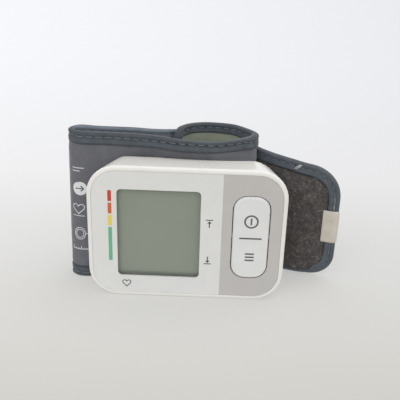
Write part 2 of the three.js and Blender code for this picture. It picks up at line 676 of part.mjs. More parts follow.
// Air pump: motor, head and the crank between them
const pumpY = deep(PUMP_DEPTH);
const headEnd = PUMP_HEAD_X + PUMP_HEAD_LENGTH;
const hoseY = deep(HOSE_DEPTH);
{
  const bore = SHAFT_RADIUS + PLAY + 0.1;
  const motor = cut(
    rod('x', pumpY, PUMP_HEIGHT, PUMP_RADIUS, headEnd, headEnd + PUMP_MOTOR_LENGTH, 24),
    rod('x', pumpY, PUMP_HEIGHT, bore, headEnd - 1, headEnd + 8),
  );
  add('pump_motor', motor, 0xb4b7ba, 0.3, 0.9);
  const sweep = CRANK_THROW + CRANK_RADIUS + PLAY;
  const head = cut(
    union(
      rod('x', pumpY, PUMP_HEIGHT, PUMP_RADIUS, PUMP_HEAD_X, headEnd, 24),
      rod('z', HOSE_X, hoseY, NOZZLE_RADIUS, PUMP_HEIGHT, PUMP_HEIGHT + PUMP_RADIUS + NOZZLE_REACH),
    ),
    rod('x', pumpY, PUMP_HEIGHT, sweep, PUMP_HEAD_X + 3.4, headEnd + 1, 24),
  );
  add('pump_head', head, 0x4b4f55, 0.5);
  const crank = union(
    rod('x', pumpY, PUMP_HEIGHT, SHAFT_RADIUS, PUMP_HEAD_X + 4, headEnd + 7.4, 12),
    rod('x', pumpY, PUMP_HEIGHT + CRANK_THROW, CRANK_RADIUS, PUMP_HEAD_X + 4.4, PUMP_HEAD_X + 7, 16),
  );
  add('pump_crank', crank, 0xd9c27a, 0.35, 1);
}

// Release valve
const valveRight = PUMP_HEAD_X + VALVE_LENGTH;
const valveHigh = VALVE_LOW + VALVE_SIZE;
const valveMid = VALVE_LOW + VALVE_SIZE / 2;
const valveY = deep(VALVE_NEAR) + VALVE_SIZE / 2;
{
  const valveFar = deep(VALVE_NEAR) + VALVE_SIZE;
  const body = block(PUMP_HEAD_X, valveRight, deep(VALVE_NEAR), valveFar, VALVE_LOW, valveHigh);
  const nozzle = rod('z', HOSE_X, hoseY, NOZZLE_RADIUS, VALVE_LOW - NOZZLE_REACH, VALVE_LOW + 1);
  const bore = rod('x', valveY, valveMid, PLUNGER_RADIUS + PLAY, valveRight - 8, valveRight + 1);
  add('valve_body', cut(body.add(nozzle), bore), 0x8f9499, 0.35, 0.8);
  const stem = rod('x', valveY, valveMid, PLUNGER_RADIUS, valveRight - 7.6, valveRight + 0.4);
  add('valve_plunger', stem, 0xb9bcc0, 0.3, 1);
}

// Air manifold and hoses
const manifoldLow = MID_HEIGHT - MANIFOLD_HEIGHT / 2;
const manifoldHigh = MID_HEIGHT + MANIFOLD_HEIGHT / 2;
{
  const left = HOSE_X - MANIFOLD_WIDTH / 2;
  const right = HOSE_X + MANIFOLD_WIDTH / 2 - PLAY;
  const manifold = union(
    block(left, right, deep(MANIFOLD_NEAR), deep(MANIFOLD_FAR), manifoldLow, manifoldHigh),
    rod('z', HOSE_X, hoseY, NOZZLE_RADIUS, manifoldLow - NOZZLE_REACH, manifoldHigh + NOZZLE_REACH),
    rod('y', PORT_X, MID_HEIGHT, SPOUT_RADIUS, deep(MANIFOLD_FAR - 1), deep(SADDLE_DEPTH + 1)),
  );
  add('air_manifold', manifold, 0xdedcd2, 0.5);
  const spans = [
    ['pump_hose', PUMP_HEIGHT + PUMP_RADIUS, manifoldLow],
    ['valve_hose', manifoldHigh, VALVE_LOW],
  ];
  for (const [name, low, high] of spans) {
    const tube = rod('z', HOSE_X, hoseY, HOSE_RADIUS, low, high, 16);
    const bore = rod('z', HOSE_X, hoseY, NOZZLE_RADIUS + LOOSE, low - 1, high + 1, 16);
    add(name, tube.subtract(bore), 0xe6e3da, 0.7);
  }
}

// Cuff route and its stations
const cuffDepth = SADDLE_DEPTH + MOUNT_GAP + CUFF_HALF;
const routePoints = ROUTE.map(([x, back]) => new THREE.Vector3(x, deep(cuffDepth + back), 0));
const route = new THREE.CatmullRomCurve3(routePoints, false, 'centripetal');
const FINE = 20;
const finePoints = route.getPoints(FINE * (ROUTE.length - 1));
const fineLengths = [0];
for (let k = 1; k < finePoints.length; k++) {
  fineLengths.push(fineLengths[k - 1] + finePoints[k].distanceTo(finePoints[k - 1]));
}
const stop = (index) => fineLengths[FINE * index];
const strapAt = stop(STRAP_STOP);
const flapAt = stop(FLAP_STOP);
const flapEnd = stop(ROUTE.length - 1) - FLAP_SHORT;
const HINGE_GAP = 0.3;

function pointAt(s) {
  let k = 1;
  while (k < finePoints.length - 1 && fineLengths[k] < s) {
    k++;
  }
  const along = (s - fineLengths[k - 1]) / (fineLengths[k] - fineLengths[k - 1]);
  return finePoints[k - 1].clone().lerp(finePoints[k], along);
}

// Y of the middle surface where the cuff passes behind the housing
function middleBehind(x) {
  let s = stop(STAY_TO);
  while (pointAt(s).x < x) {
    s -= 0.05;
  }
  return pointAt(s).y;
}

// Direction to the outer side of the cuff
function outwardAt(s) {
  const ahead = pointAt(s + 0.4);
  const behind = pointAt(s - 0.4);
  const heading = ahead.sub(behind).normalize();
  return new THREE.Vector3(-heading.y, heading.x, 0);
}

function edgeAt(table, s) {
  let k = 1;
  while (k < table.length - 1 && stop(table[k][0]) < s) {
    k++;
  }
  const from = stop(table[k - 1][0]);
  const to = stop(table[k][0]);
  const along = THREE.MathUtils.clamp((s - from) / (to - from), 0, 1);
  return THREE.MathUtils.lerp(table[k - 1][1], table[k][1], along);
}

// How far a round corner draws the edge in at a distance past the corner's start
function rounding(corner, inset, past) {
  const radius = corner - inset;
  const into = THREE.MathUtils.clamp(past, 0, radius);
  return radius - Math.sqrt(radius * radius - into * into);
}

// Lower and upper edge drawn in by an inset, with round corners at both ends of the cuff
function edges(s, inset) {
  const tip = rounding(TIP_CORNER, inset, TIP_CORNER - s);
  const free = (corner) => rounding(corner, inset, s - (flapEnd - corner));
  const low = edgeAt(BOTTOM_EDGE, s) + inset + tip + free(FLAP_LOW_CORNER);
  return [low, edgeAt(TOP_EDGE, s) - inset - tip - free(FLAP_TOP_CORNER)];
}

const bindingInner = CUFF_HALF - BINDING_SKIN;
const outerFace = bindingInner - LAYER_GAP;
const outerBack = outerFace - FABRIC;
const stayFace = outerBack - LAYER_GAP;
const stayBack = stayFace - STAY;
const bladderFace = stayBack - LAYER_GAP;
const bladderBack = bladderFace - BLADDER;
const edgeRoom = BINDING_SKIN + LAYER_GAP;
const bladderInset = BINDING_WIDTH + 2;
const hookFace = -outerFace - LAYER_GAP;
const rootEnd = strapAt - HINGE_GAP;
const strapEnd = flapAt - HINGE_GAP;
const tabFrom = flapEnd - TAB_LENGTH;

const stations = [0, edgeRoom, BINDING_SKIN, BINDING_WIDTH, bladderInset, stop(STAY_FROM), stop(STAY_TO)];
stations.push(stop(BLADDER_TO), rootEnd, strapAt, strapEnd, flapAt, tabFrom, flapEnd);
for (const inset of [BINDING_SKIN, edgeRoom, BINDING_WIDTH, BINDING_WIDTH + PLAY]) {
  stations.push(flapEnd - inset);
}
stations.push(flapEnd + LAYER_GAP, flapEnd + LAYER_GAP + TAB_SKIN, strapAt + 1, flapAt + 1, tabFrom - 1);
const CORNER_STEPS = 8;
for (let k = 0; k < CORNER_STEPS; k++) {
  const along = Math.sin((k * Math.PI) / 2 / CORNER_STEPS);
  stations.push(flapEnd - FLAP_TOP_CORNER * (1 - along), flapEnd - FLAP_LOW_CORNER * (1 - along));
  stations.push(TIP_CORNER * (1 - along));
}
for (const table of [TOP_EDGE, BOTTOM_EDGE, LEAN]) {
  for (const [index] of table) {
    stations.push(stop(index));
  }
}
const forced = stations.filter((s) => s <= flapEnd + 1).sort((a, b) => a - b);
const rows = [];
for (let k = 0; k + 1 < forced.length; k++) {
  if (forced[k + 1] - forced[k] < 1e-6) {
    continue;
  }
  rows.push(forced[k]);
  let last = forced[k];
  let facing = outwardAt(last);
  for (let s = forced[k] + 0.5; s < forced[k + 1] - 0.5; s += 0.25) {
    const turned = outwardAt(s).angleTo(facing);
    if (turned > 0.19 || s - last > 9) {
      rows.push(s);
      last = s;
      facing = outwardAt(s);
    }
  }
}
rows.push(forced[forced.length - 1]);

const rowPoints = rows.map(pointAt);
const rowOutward = rows.map(outwardAt);

// Point of the faceted cuff at a distance along its route and an offset from its middle surface
function place(s, offset) {
  let k = 1;
  while (k < rows.length - 1 && rows[k] < s) {
    k++;
  }
  const along = (s - rows[k - 1]) / (rows[k] - rows[k - 1]);
  const before = rowPoints[k - 1].clone().addScaledVector(rowOutward[k - 1], offset);
  const after = rowPoints[k].clone().addScaledVector(rowOutward[k], offset);
  const point = before.lerp(after, along);
  return [point.x, point.y];
}

// Point of the cuff at a height
function leaning(s, offset, z) {
  const [x, y] = place(s, offset);
  return [x, y - edgeAt(LEAN, s) * (1 - z / LEAN_HEIGHT), z];
}

const rowsBetween = (from, to) => rows.filter((s) => s > from - 1e-6 && s < to + 1e-6);

// Strip of the cuff between two stations: the section lists points (offset, height) at a station
function strip(from, to, section) {
  const kept = rowsBetween(from, to);
  const rings = kept.map((s) => section(s).map(([offset, z]) => leaning(s, offset, z)));
  return skin(rings, section(kept[0]));
}

function layer(from, to, inner, outer, inset) {
  return strip(from, to, (s) => {
    const [low, high] = edges(s, inset);
    return [[inner, low], [outer, low], [outer, high], [inner, high]];
  });
}

// Folded edging along a path over the cuff: path points are s, z and the direction into the cloth
function edging(path) {
  const fold = [
    [-CUFF_HALF, 0],
    [CUFF_HALF, 0],
    [CUFF_HALF, BINDING_WIDTH],
    [bindingInner, BINDING_WIDTH],
    [bindingInner, BINDING_SKIN],
    [-bindingInner, BINDING_SKIN],
    [-bindingInner, BINDING_WIDTH],
    [-CUFF_HALF, BINDING_WIDTH],
  ];
  const rings = path.map(([s, z, inS, inZ]) => {
    return fold.map(([offset, depth]) => leaning(s + inS * depth, offset, z + inZ * depth));
  });
  return skin(rings, fold);
}

function edgePath(from, to, top) {
  const table = top ? TOP_EDGE : BOTTOM_EDGE;
  return rowsBetween(from, to).map((s) => [s, edgeAt(table, s), 0, top ? -1 : 1]);
}

// Round corner at an end of the cuff, from its level edge to its upright edge
function cornerPath(corner, end, side, top) {
  const table = top ? TOP_EDGE : BOTTOM_EDGE;
  const up = top ? 1 : -1;
  const path = [];
  for (let k = 1; k <= CORNER_STEPS; k++) {
    const angle = (k * Math.PI) / 2 / CORNER_STEPS;
    const s = end - side * corner * (1 - Math.sin(angle));
    const z = edgeAt(table, s) - up * corner * (1 - Math.cos(angle));
    path.push([s, z, -side * Math.sin(angle), -up * Math.cos(angle)]);
  }
  return path;
}

const CLOTH = 0x5f6166;
const LINING = 0x7d7f6e;
const EDGING = 0x4d5560;
{
  let fabric = layer(edgeRoom, rootEnd, outerBack, outerFace, edgeRoom);
  let stay = layer(stop(STAY_FROM), stop(STAY_TO), stayBack, stayFace, bladderInset);
  let bladder = layer(bladderInset, stop(BLADDER_TO), bladderBack, bladderFace, bladderInset);
  const inside = deep(cuffDepth + 3);
  const headRadius = PEG_RADIUS + 0.7;
  for (const [x, z] of PEG_PLACES) {
    const nearest = THREE.MathUtils.clamp(SADDLE_X, x - headRadius, x + headRadius);
    const wallBack = saddleDepth(nearest) - WALL;
    fabric = fabric.subtract(rod('y', x, z, PEG_RADIUS + PLAY, deep(SADDLE_DEPTH - 2), inside));
    const reach = Math.min(middleBehind(x - PEG_RADIUS), middleBehind(x + PEG_RADIUS)) - stayBack - 0.1;
    const peg = rod('y', x, z, PEG_RADIUS, deep(wallBack - PEG_HEAD - 0.2), reach);
    const head = rod('y', x, z, headRadius, deep(wallBack - PEG_HEAD - 0.2), deep(wallBack - 0.2));
    stay = union(stay, peg, head);
  }
  const passage = rod('y', PORT_X, MID_HEIGHT, PORT_RADIUS + PLAY, deep(SADDLE_DEPTH - 2), inside);
  fabric = fabric.subtract(passage);
  stay = stay.subtract(passage);
  const portFace = middleBehind(PORT_X) - bladderFace;
  const nipple = rod('y', PORT_X, MID_HEIGHT, PORT_RADIUS, deep(MANIFOLD_FAR + PLAY), portFace + BLADDER / 2);
  const bore = rod('y', PORT_X, MID_HEIGHT, SPOUT_RADIUS + PLAY, deep(MANIFOLD_FAR), portFace - BLADDER);
  bladder = cut(bladder.add(nipple), bore);
  add('cuff_fabric', fabric, CLOTH, 0.9);
  add('cuff_stay', stay, 0xdcdcd8, 0.6);
  add('cuff_bladder', bladder, 0xb9b4a6, 0.7);
  add('cuff_lining', layer(edgeRoom, rootEnd, -outerFace, -outerBack, edgeRoom), LINING, 0.95);
  const binding = edging([
    ...edgePath(TIP_CORNER, rootEnd, true).reverse(),
    ...cornerPath(TIP_CORNER, 0, -1, true),
    ...cornerPath(TIP_CORNER, 0, -1, false).reverse(),
    ...edgePath(TIP_CORNER, rootEnd, false),
  ]);
  add('cuff_binding', binding, EDGING, 0.85);
}

// Strap from the left fold round behind the wrist loop
{
  add('strap_fabric', layer(strapAt, strapEnd, outerBack, outerFace, edgeRoom), CLOTH, 0.9);
  add('strap_core', layer(strapAt, strapEnd, -outerBack + LAYER_GAP, outerBack - LAYER_GAP, bladderInset), 0x9a9a92, 0.9);
  add('strap_lining', layer(strapAt, strapEnd, -outerFace, -outerBack, edgeRoom), LINING, 0.95);
  add('strap_binding_top', edging(edgePath(strapAt, strapEnd, true)), EDGING, 0.85);
  add('strap_binding_bottom', edging(edgePath(strapAt, strapEnd, false)), EDGING, 0.85);
}

// Free flap with its hook patch and pull tab
{
  const end = flapEnd - edgeRoom;
  add('flap_fabric', layer(flapAt, end, outerBack, outerFace, edgeRoom), CLOTH, 0.9);
  const coreEnd = flapEnd - BINDING_WIDTH;
  add('flap_core', layer(flapAt, coreEnd, -outerBack + LAYER_GAP, outerBack - LAYER_GAP, bladderInset), 0x9a9a92, 0.9);
  add('flap_lining', layer(flapAt, end, -outerFace, -outerBack, edgeRoom), LINING, 0.95);
  const hookEnd = flapEnd - BINDING_WIDTH - PLAY;
  const hooks = layer(flapAt, hookEnd, hookFace - HOOK_PILE, hookFace, BINDING_WIDTH + PLAY);
  add('hook_patch', hooks, 0x2e2a27, 1);
  const binding = edging([
    ...edgePath(flapAt, flapEnd - FLAP_TOP_CORNER, true),
    ...cornerPath(FLAP_TOP_CORNER, flapEnd, 1, true),
    ...cornerPath(FLAP_LOW_CORNER, flapEnd, 1, false).reverse(),
    ...edgePath(flapAt, flapEnd - FLAP_LOW_CORNER, false).reverse(),
  ]);
  add('flap_binding', binding, EDGING, 0.85);
  const tabInner = hookFace - HOOK_PILE - LAYER_GAP;
  const tabOuter = CUFF_HALF + LAYER_GAP;
  const tabEnd = flapEnd + LAYER_GAP;
  const legRows = [tabFrom, flapEnd - BINDING_WIDTH, flapEnd - edgeRoom];
  const leg = (offset) => legRows.map((s) => place(s, offset));
  const tab = [
    ...leg(tabInner - TAB_SKIN),
    place(tabEnd + TAB_SKIN, tabInner - TAB_SKIN),
    place(tabEnd + TAB_SKIN, tabOuter + TAB_SKIN),
    ...leg(tabOuter + TAB_SKIN).reverse(),
    ...leg(tabOuter),
    place(tabEnd, tabOuter),
    place(tabEnd, tabInner),
    ...leg(tabInner).reverse(),
  ];
  add('pull_tab', prism('z', tab, TAB_LOW, TAB_HIGH), 0xb5b0a6, 0.85);
}

export default part;
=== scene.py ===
"""Looks of a wrist blood pressure monitor: moulded housing with a recessed display, printed signs and a
rocker key, on a bound cloth cuff that is wound into a loop, with a hook flap and a pull tab."""
import json
import math

import bpy
import numpy as np
from mathutils import Matrix, Vector, noise


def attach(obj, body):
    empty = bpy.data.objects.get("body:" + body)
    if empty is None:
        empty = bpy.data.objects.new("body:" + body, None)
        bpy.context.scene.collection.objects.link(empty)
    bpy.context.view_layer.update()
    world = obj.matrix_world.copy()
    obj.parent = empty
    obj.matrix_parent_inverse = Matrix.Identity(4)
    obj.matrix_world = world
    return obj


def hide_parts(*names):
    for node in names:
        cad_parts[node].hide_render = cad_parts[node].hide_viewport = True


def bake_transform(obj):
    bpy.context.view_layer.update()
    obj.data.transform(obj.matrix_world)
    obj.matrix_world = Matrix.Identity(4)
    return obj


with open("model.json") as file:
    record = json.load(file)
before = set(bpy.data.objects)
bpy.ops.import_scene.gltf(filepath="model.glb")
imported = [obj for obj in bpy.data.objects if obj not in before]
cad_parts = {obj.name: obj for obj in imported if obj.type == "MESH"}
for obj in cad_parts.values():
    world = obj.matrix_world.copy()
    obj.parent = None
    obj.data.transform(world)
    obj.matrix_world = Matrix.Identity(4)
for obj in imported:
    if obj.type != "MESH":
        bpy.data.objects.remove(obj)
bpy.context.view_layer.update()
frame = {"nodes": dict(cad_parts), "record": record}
scene = bpy.context.scene
scene.view_settings.view_transform = "Standard"
MM = 0.001

# Camera
CAMERA_MM = (9.402, -244.941, 145.0)
CAMERA_DOWN, CAMERA_YAW, CAMERA_ROLL = 22.214, 0.966, 1.776
LENS_MM, SENSOR_MM = 56.7, 36.0
CLIP_START = 0.01

camera = bpy.data.objects.new("camera", bpy.data.cameras.new("camera"))
scene.collection.objects.link(camera)
turn = Matrix.Rotation(math.radians(CAMERA_YAW), 4, "Z")
turn @= Matrix.Rotation(math.radians(90 - CAMERA_DOWN), 4, "X")
turn @= Matrix.Rotation(math.radians(CAMERA_ROLL), 4, "Z")
camera.matrix_world = Matrix.Translation(Vector(CAMERA_MM) * MM) @ turn
camera.data.lens = LENS_MM
camera.data.sensor_width = SENSOR_MM
camera.data.clip_start = CLIP_START
scene.camera = camera

# Materials
# Scale of a wave texture that makes one wave to a metre
ONE_WAVE = 0.314159


def linear(rgb):
    """Linear colour of an sRGB colour given as 0 to 255."""
    return tuple(((c / 255 + 0.055) / 1.055) ** 2.4 if c > 10 else c / 255 / 12.92 for c in rgb)


def tones(*stops):
    """Stops of a colour ramp from places and sRGB colours."""
    return [(place, linear(rgb)) for place, rgb in stops]


class Finish:
    """A principled material with its texture nodes. Lengths are in metres."""

    def __init__(self, name, rough, specular, metal=0.0):
        self.made = bpy.data.materials.new(name)
        self.made.use_nodes = True
        self.tree = self.made.node_tree
        self.shader = next(n for n in self.tree.nodes if n.type == "BSDF_PRINCIPLED")
        self.set("Roughness", rough)
        self.set("Specular IOR Level", specular)
        self.set("Metallic", metal)
        self.relief = None

    def set(self, socket, value):
        self.shader.inputs[socket].default_value = value

    def node(self, kind, **values):
        """New node, with values for its sockets and settings."""
        made = self.tree.nodes.new(kind)
        for name, value in values.items():
            if name in made.inputs:
                made.inputs[name].default_value = value
            else:
                setattr(made, name, value)
        return made

    def link(self, a, b):
        self.tree.links.new(a, b)

    def feed(self, value, socket):
        if isinstance(value, (int, float)):
            socket.default_value = value
        else:
            self.link(value, socket)

    def place(self, source="Object", scale=(1, 1, 1)):
        mapping = self.node("ShaderNodeMapping", Scale=scale)
        self.link(self.node("ShaderNodeTexCoord").outputs[source], mapping.inputs["Vector"])
        return mapping.outputs["Vector"]

    def axis(self, letter):
        """Place along one axis of the object."""
        made = self.node("ShaderNodeSeparateXYZ")
        self.link(self.place(), made.inputs["Vector"])
        return made.outputs[letter]

    def noise(self, scale, detail=3.0, rough=0.55, stretch=(1, 1, 1)):
        made = self.node("ShaderNodeTexNoise", Scale=scale, Detail=detail, Roughness=rough)
        self.link(self.place(scale=stretch), made.inputs["Vector"])
        return made.outputs["Fac"]

    def ramp(self, factor, stops):
        made = self.node("ShaderNodeValToRGB")
        elements = made.color_ramp.elements
        while len(elements) < len(stops):
            elements.new(0.5)
        for element, (place, colour) in zip(elements, stops):
            element.position = place
            element.color = (*colour, 1)
        self.link(factor, made.inputs["Fac"])
        return made.outputs["Color"]

    def math(self, what, a, b):
        made = self.node("ShaderNodeMath", operation=what)
        self.feed(a, made.inputs[0])
        self.feed(b, made.inputs[1])
        return made.outputs[0]

    def weighted(self, a, b, share):
        """Mean of two values, with the share of the first."""
        return self.math("ADD", self.math("MULTIPLY", a, share), self.math("MULTIPLY", b, 1 - share))

    def ranged(self, value, start, end, low, high):
        """Value that runs from low to high while another runs from start to end."""
        limits = {"From Min": start, "From Max": end, "To Min": low, "To Max": high}
        made = self.node("ShaderNodeMapRange", **limits)
        self.link(value, made.inputs["Value"])
        return made.outputs[0]

    def scaled(self, shade, factor):
        """Colour multiplied by a value."""
        made = self.node("ShaderNodeVectorMath", operation="SCALE")
        self.link(shade, made.inputs[0])
        self.feed(factor, made.inputs["Scale"])
        return made.outputs[0]

    def with_painted_shade(self, shade, strength):
        """Colour with painted shade where the mesh's shade value is high, and painted light where it is
        below zero.
        """
        depth = self.node("ShaderNodeAttribute", attribute_name="painted_shade").outputs["Fac"]
        return self.scaled(shade, self.math("SUBTRACT", 1.0, self.math("MULTIPLY", depth, strength)))

    def colour(self, out):
        self.link(out, self.shader.inputs["Base Color"])

    def drifting(self, rgb, vary, scale, warm=0.0):
        """Colour that drifts a little over the surface and may be warmer where it is light."""
        base = linear(rgb)
        dark = tuple(c * (1 - vary) for c in base)
        light = tuple(min(1, c * (1 + vary + shift)) for c, shift in zip(base, (warm, 0, -warm)))
        return self.ramp(self.noise(scale), [(0.3, dark), (0.7, light)])

    def tint(self, rgb, vary, scale, warm=0.0):
        self.colour(self.drifting(rgb, vary, scale, warm))

    def uneven(self, low, high, scale):
        """Roughness that drifts between two values."""
        out = self.ramp(self.noise(scale, detail=4.0), [(0.3, (low,) * 3), (0.7, (high,) * 3)])
        self.link(out, self.shader.inputs["Roughness"])

    def bump(self, height, strength, distance):
        """Fine relief, over any relief made before."""
        made = self.node("ShaderNodeBump", Strength=strength, Distance=distance)
        self.link(height, made.inputs["Height"])
        if self.relief:
            self.link(self.relief, made.inputs["Normal"])
        self.relief = made.outputs["Normal"]
        self.link(self.relief, self.shader.inputs["Normal"])

    def weave(self, pitch):
        """Height of a plain weave over the UV map, whose unit is a metre."""
        values = {"Scale": ONE_WAVE / pitch, "Distortion": 0.6, "Detail": 1.0, "Detail Scale": 2.0}
        waves = []
        for direction in "XY":
            wave = self.node("ShaderNodeTexWave", bands_direction=direction, **values)
            self.link(self.place("UV"), wave.inputs["Vector"])
            waves.append(wave.outputs["Fac"])
        return self.math("MULTIPLY", *waves)


def moulded(name, rgb, rough, grain=5200.0, strength=0.12, vary=0.02, specular=0.4):
    """Plastic or rubber with the fine grain of its mould."""
    made = Finish(name, rough, specular)
    made.tint(rgb, vary, scale=160.0, warm=0.01)
    made.uneven(rough - 0.06, rough + 0.08, scale=900.0)
    made.bump(made.noise(grain, detail=2.0), strength, distance=0.00004)
    return made.made


def metal(name, rgb, rough, brushed=(1, 1, 1)):
    made = Finish(name, rough, 0.5, metal=1.0)
    made.tint(rgb, vary=0.08, scale=900.0)
    made.uneven(rough - 0.08, rough + 0.12, scale=1500.0)
    made.bump(made.noise(3000.0, detail=2.0, stretch=brushed), 0.15, distance=0.00003)
    return made.made


def cloth(name, rgb, pitch, strength, vary=0.07, rough=0.85, sheen=0.25, fuzz=0.0, painted_shade=0.0):
    """Woven cloth of a thread pitch, with painted shade from the mesh's values where its strength is set,
    and painted light where the values are below zero.
    """
    made = Finish(name, rough, 0.25)
    made.set("Sheen Weight", sheen)
    made.set("Sheen Roughness", 0.45)
    base = linear(rgb)
    spread = 2.2 * vary
    dark = tuple(c * (1 - spread) for c in base)
    light = tuple(min(1, c * (1 + spread)) for c in base)
    height = made.weave(pitch)
    drift = made.weighted(height, made.noise(260.0, detail=4.0), 0.35)
    shade = made.ramp(drift, [(0.22, dark), (0.66, light)])
    if painted_shade:
        shade = made.with_painted_shade(shade, painted_shade)
    made.colour(shade)
    made.uneven(rough - 0.1, min(1, rough + 0.08), scale=1400.0)
    made.bump(height, strength, distance=0.00012)
    if fuzz:
        made.bump(made.noise(5200.0, detail=4.0), fuzz, distance=0.00025)
    return made.made


def hook_material():
    made = Finish("hook_pile", 0.95, 0.15)
    made.set("Sheen Weight", 0.2)
    fine = made.noise(2100.0, detail=5.0, rough=0.7)
    broad = made.noise(240.0)
    stops = tones((0.30, (40, 39, 38)), (0.52, (82, 79, 78)), (0.66, (128, 124, 120)))
    shade = made.ramp(made.weighted(fine, broad, 0.7), stops)
    # Painted shadow along the patch's rim, from the mesh's values
    made.colour(made.with_painted_shade(shade, 0.92))
    made.bump(fine, 0.8, distance=0.0005)
    return made.made


def fibre_material():
    made = Finish("hook_fibre", 0.8, 0.3)
    stops = tones((0.32, (48, 45, 45)), (0.5, (88, 84, 82)), (0.6, (126, 120, 116)), (0.7, (188, 181, 175)))
    made.colour(made.ramp(made.noise(520.0, detail=4.0, rough=0.75), stops))
    made.uneven(0.6, 0.95, scale=1800.0)
    return made.made


def display_material():
    """Reflective liquid crystal with nothing shown, with painted shade along its lower edge."""
    made = Finish("display_grey", 0.35, 0.4)
    even = made.drifting((121, 129, 113), vary=0.02, scale=45.0)
    made.colour(made.scaled(even, made.ranged(made.axis("Z"), 0.0099, 0.0117, 0.45, 1.0)))
    made.uneven(0.3, 0.42, scale=500.0)
    return made.made


def window_material():
    made = Finish("window_clear", 0.06, 0.5)
    made.tint((226, 231, 228), vary=0.01, scale=60.0)
    made.uneven(0.04, 0.09, scale=300.0)
    made.set("Alpha", 0.06)
    return made.made


def print_material(name, rgb):
    made = Finish(name, 0.5, 0.35)
    made.tint(rgb, vary=0.05, scale=1400.0)
    made.uneven(0.42, 0.58, scale=1200.0)
    return made.made


WHITE = moulded("housing_white", (224, 223, 219), 0.2, strength=0.03, specular=0.5)
REAR = moulded("rear_white", (224, 222, 217), 0.2, strength=0.03, specular=0.5)
PANEL = moulded("panel_white", (213, 214, 213), 0.38, grain=7000.0, strength=0.05)
GREY = moulded("panel_grey", (184, 182, 180), 0.40, grain=7000.0, strength=0.06)
KEY = moulded("key_grey", (214, 216, 216), 0.46, grain=6500.0, strength=0.08)
INK = moulded("ink_grey", (92, 95, 99), 0.55, strength=0.05, vary=0.06)
BOARD = moulded("board_green", (36, 98, 62), 0.4, grain=2500.0, vary=0.12)
BLACK = moulded("chip_black", (30, 31, 33), 0.45, vary=0.1)
PALE = moulded("inner_white", (215, 212, 203), 0.55, vary=0.04)
PUMP = moulded("pump_plastic", (74, 79, 87), 0.5, vary=0.06)
SILICONE = moulded("hose_silicone", (231, 228, 219), 0.6, vary=0.05)
SLEEVE = moulded("cell_sleeve", (52, 58, 66), 0.32, grain=3000.0, vary=0.1)
STRIP = moulded("contact_rubber", (122, 118, 124), 0.75, vary=0.12)
BLADDER = moulded("bladder_film", (184, 179, 165), 0.6, vary=0.05)
STEEL = metal("plated_steel", (176, 179, 184), 0.3)
CAN = metal("motor_can", (186, 188, 191), 0.28, brushed=(1, 12, 12))
BRASS = metal("crank_brass", (214, 188, 116), 0.32)
# The last number of the cuff cloth and of the binding tape sets how strong their painted shade is
CLOTH = cloth("cuff_cloth", (101, 102, 108), 0.00046, 0.3, painted_shade=0.4)
LINING = cloth("cuff_lining", (142, 147, 132), 0.0007, 0.25, vary=0.09, rough=0.95, sheen=0.5, fuzz=0.5)
TAPE = cloth("binding_tape", (79, 85, 92), 0.00052, 0.5, vary=0.11, sheen=0.2, painted_shade=0.72)
TAB = cloth("tab_tape", (194, 187, 177), 0.00042, 0.3, vary=0.05, rough=0.8)
THREAD = cloth("stitch_thread", (112, 117, 122), 0.0003, 0.6, vary=0.08)
FRAY = cloth("frayed_thread", (170, 171, 170), 0.0003, 0.4, vary=0.08)
HOOK = hook_material()
FIBRE = fibre_material()
DISPLAY = display_material()
WINDOW = window_material()
RED = print_material("print_red", (190, 66, 50))
ORANGE = print_material("print_orange", (200, 98, 60))
YELLOW = print_material("print_yellow", (220, 200, 88))
GREEN = print_material("print_green", (102, 174, 136))
CUFF_PRINT = print_material("print_pale", (212, 213, 216))

BY_SLOT = {
    "housing_white": WHITE, "panel_white": PANEL, "panel_grey": GREY, "key_grey": KEY,
    "window_clear": WINDOW, "display_grey": DISPLAY, "holder_white": PALE, "strip_rubber": STRIP,
    "board_green": BOARD, "chip_black": BLACK, "switch_black": BLACK, "screw_steel": STEEL,
    "cell_sleeve": SLEEVE, "contact_steel": STEEL, "motor_can": CAN, "pump_plastic": PUMP,
    "crank_brass": BRASS, "valve_metal": CAN, "manifold_plastic": PALE, "hose_silicone": SILICONE,
    "cuff_cloth": CLOTH, "cuff_lining": LINING, "cuff_edging": TAPE, "stay_plastic": PALE,
    "bladder_rubber": BLADDER, "core_foam": LINING, "hook_pile": HOOK, "tab_tape": TAB,
}
REAR_NODES = ("rear_housing", "battery_cover")
for entry in frame["record"]["subparts"]:
    name = entry["node"]
    finishes = frame["nodes"][name].data.materials
    finishes.clear()
    finishes.append(REAR if name in REAR_NODES else BY_SLOT[entry["material_slot"]])


# Mesh helpers


def piece(name, points, faces, material, body=None, uvs=None, smooth=True, painted_shades=None):
    """Mesh object from points in millimetres. Its end caps stay flat."""
    mesh = bpy.data.meshes.new(name)
    mesh.from_pydata([tuple(c * MM for c in p) for p in points], [], faces)
    if uvs is not None:
        layer = mesh.uv_layers.new(name="UVMap")
        for loop in mesh.loops:
            layer.data[loop.index].uv = [c * MM for c in uvs[loop.vertex_index]]
    if painted_shades is not None:
        # Values of painted shade, and of painted light below zero, which the materials read
        mesh.attributes.new("painted_shade", "FLOAT", "POINT").data.foreach_set("value", painted_shades)
    mesh.validate()
    if smooth:
        for polygon in mesh.polygons:
            polygon.use_smooth = polygon.loop_total <= 4
    mesh.materials.append(material)
    obj = bpy.data.objects.new(name, mesh)
    scene.collection.objects.link(obj)
    if body:
        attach(obj, body)
    return obj


def tube_faces(rings, count, start=0):
    """Faces of a closed skin over rings of equal count, with a cap at each end."""
    faces = []
    for i in range(rings - 1):
        a = start + i * count
        for j in range(count):
            k = (j + 1) % count
            faces.append((a + j, a + k, a + count + k, a + count + j))
    last = start + (rings - 1) * count
    faces.append(tuple(start + j for j in reversed(range(count))))
    faces.append(tuple(last + j for j in range(count)))
    return faces


def band_faces(count, start=0):
    """Faces of a flat band between pairs of points."""
    return [(a, a + 1, a + 3, a + 2) for a in range(start, start + 2 * (count - 1), 2)]


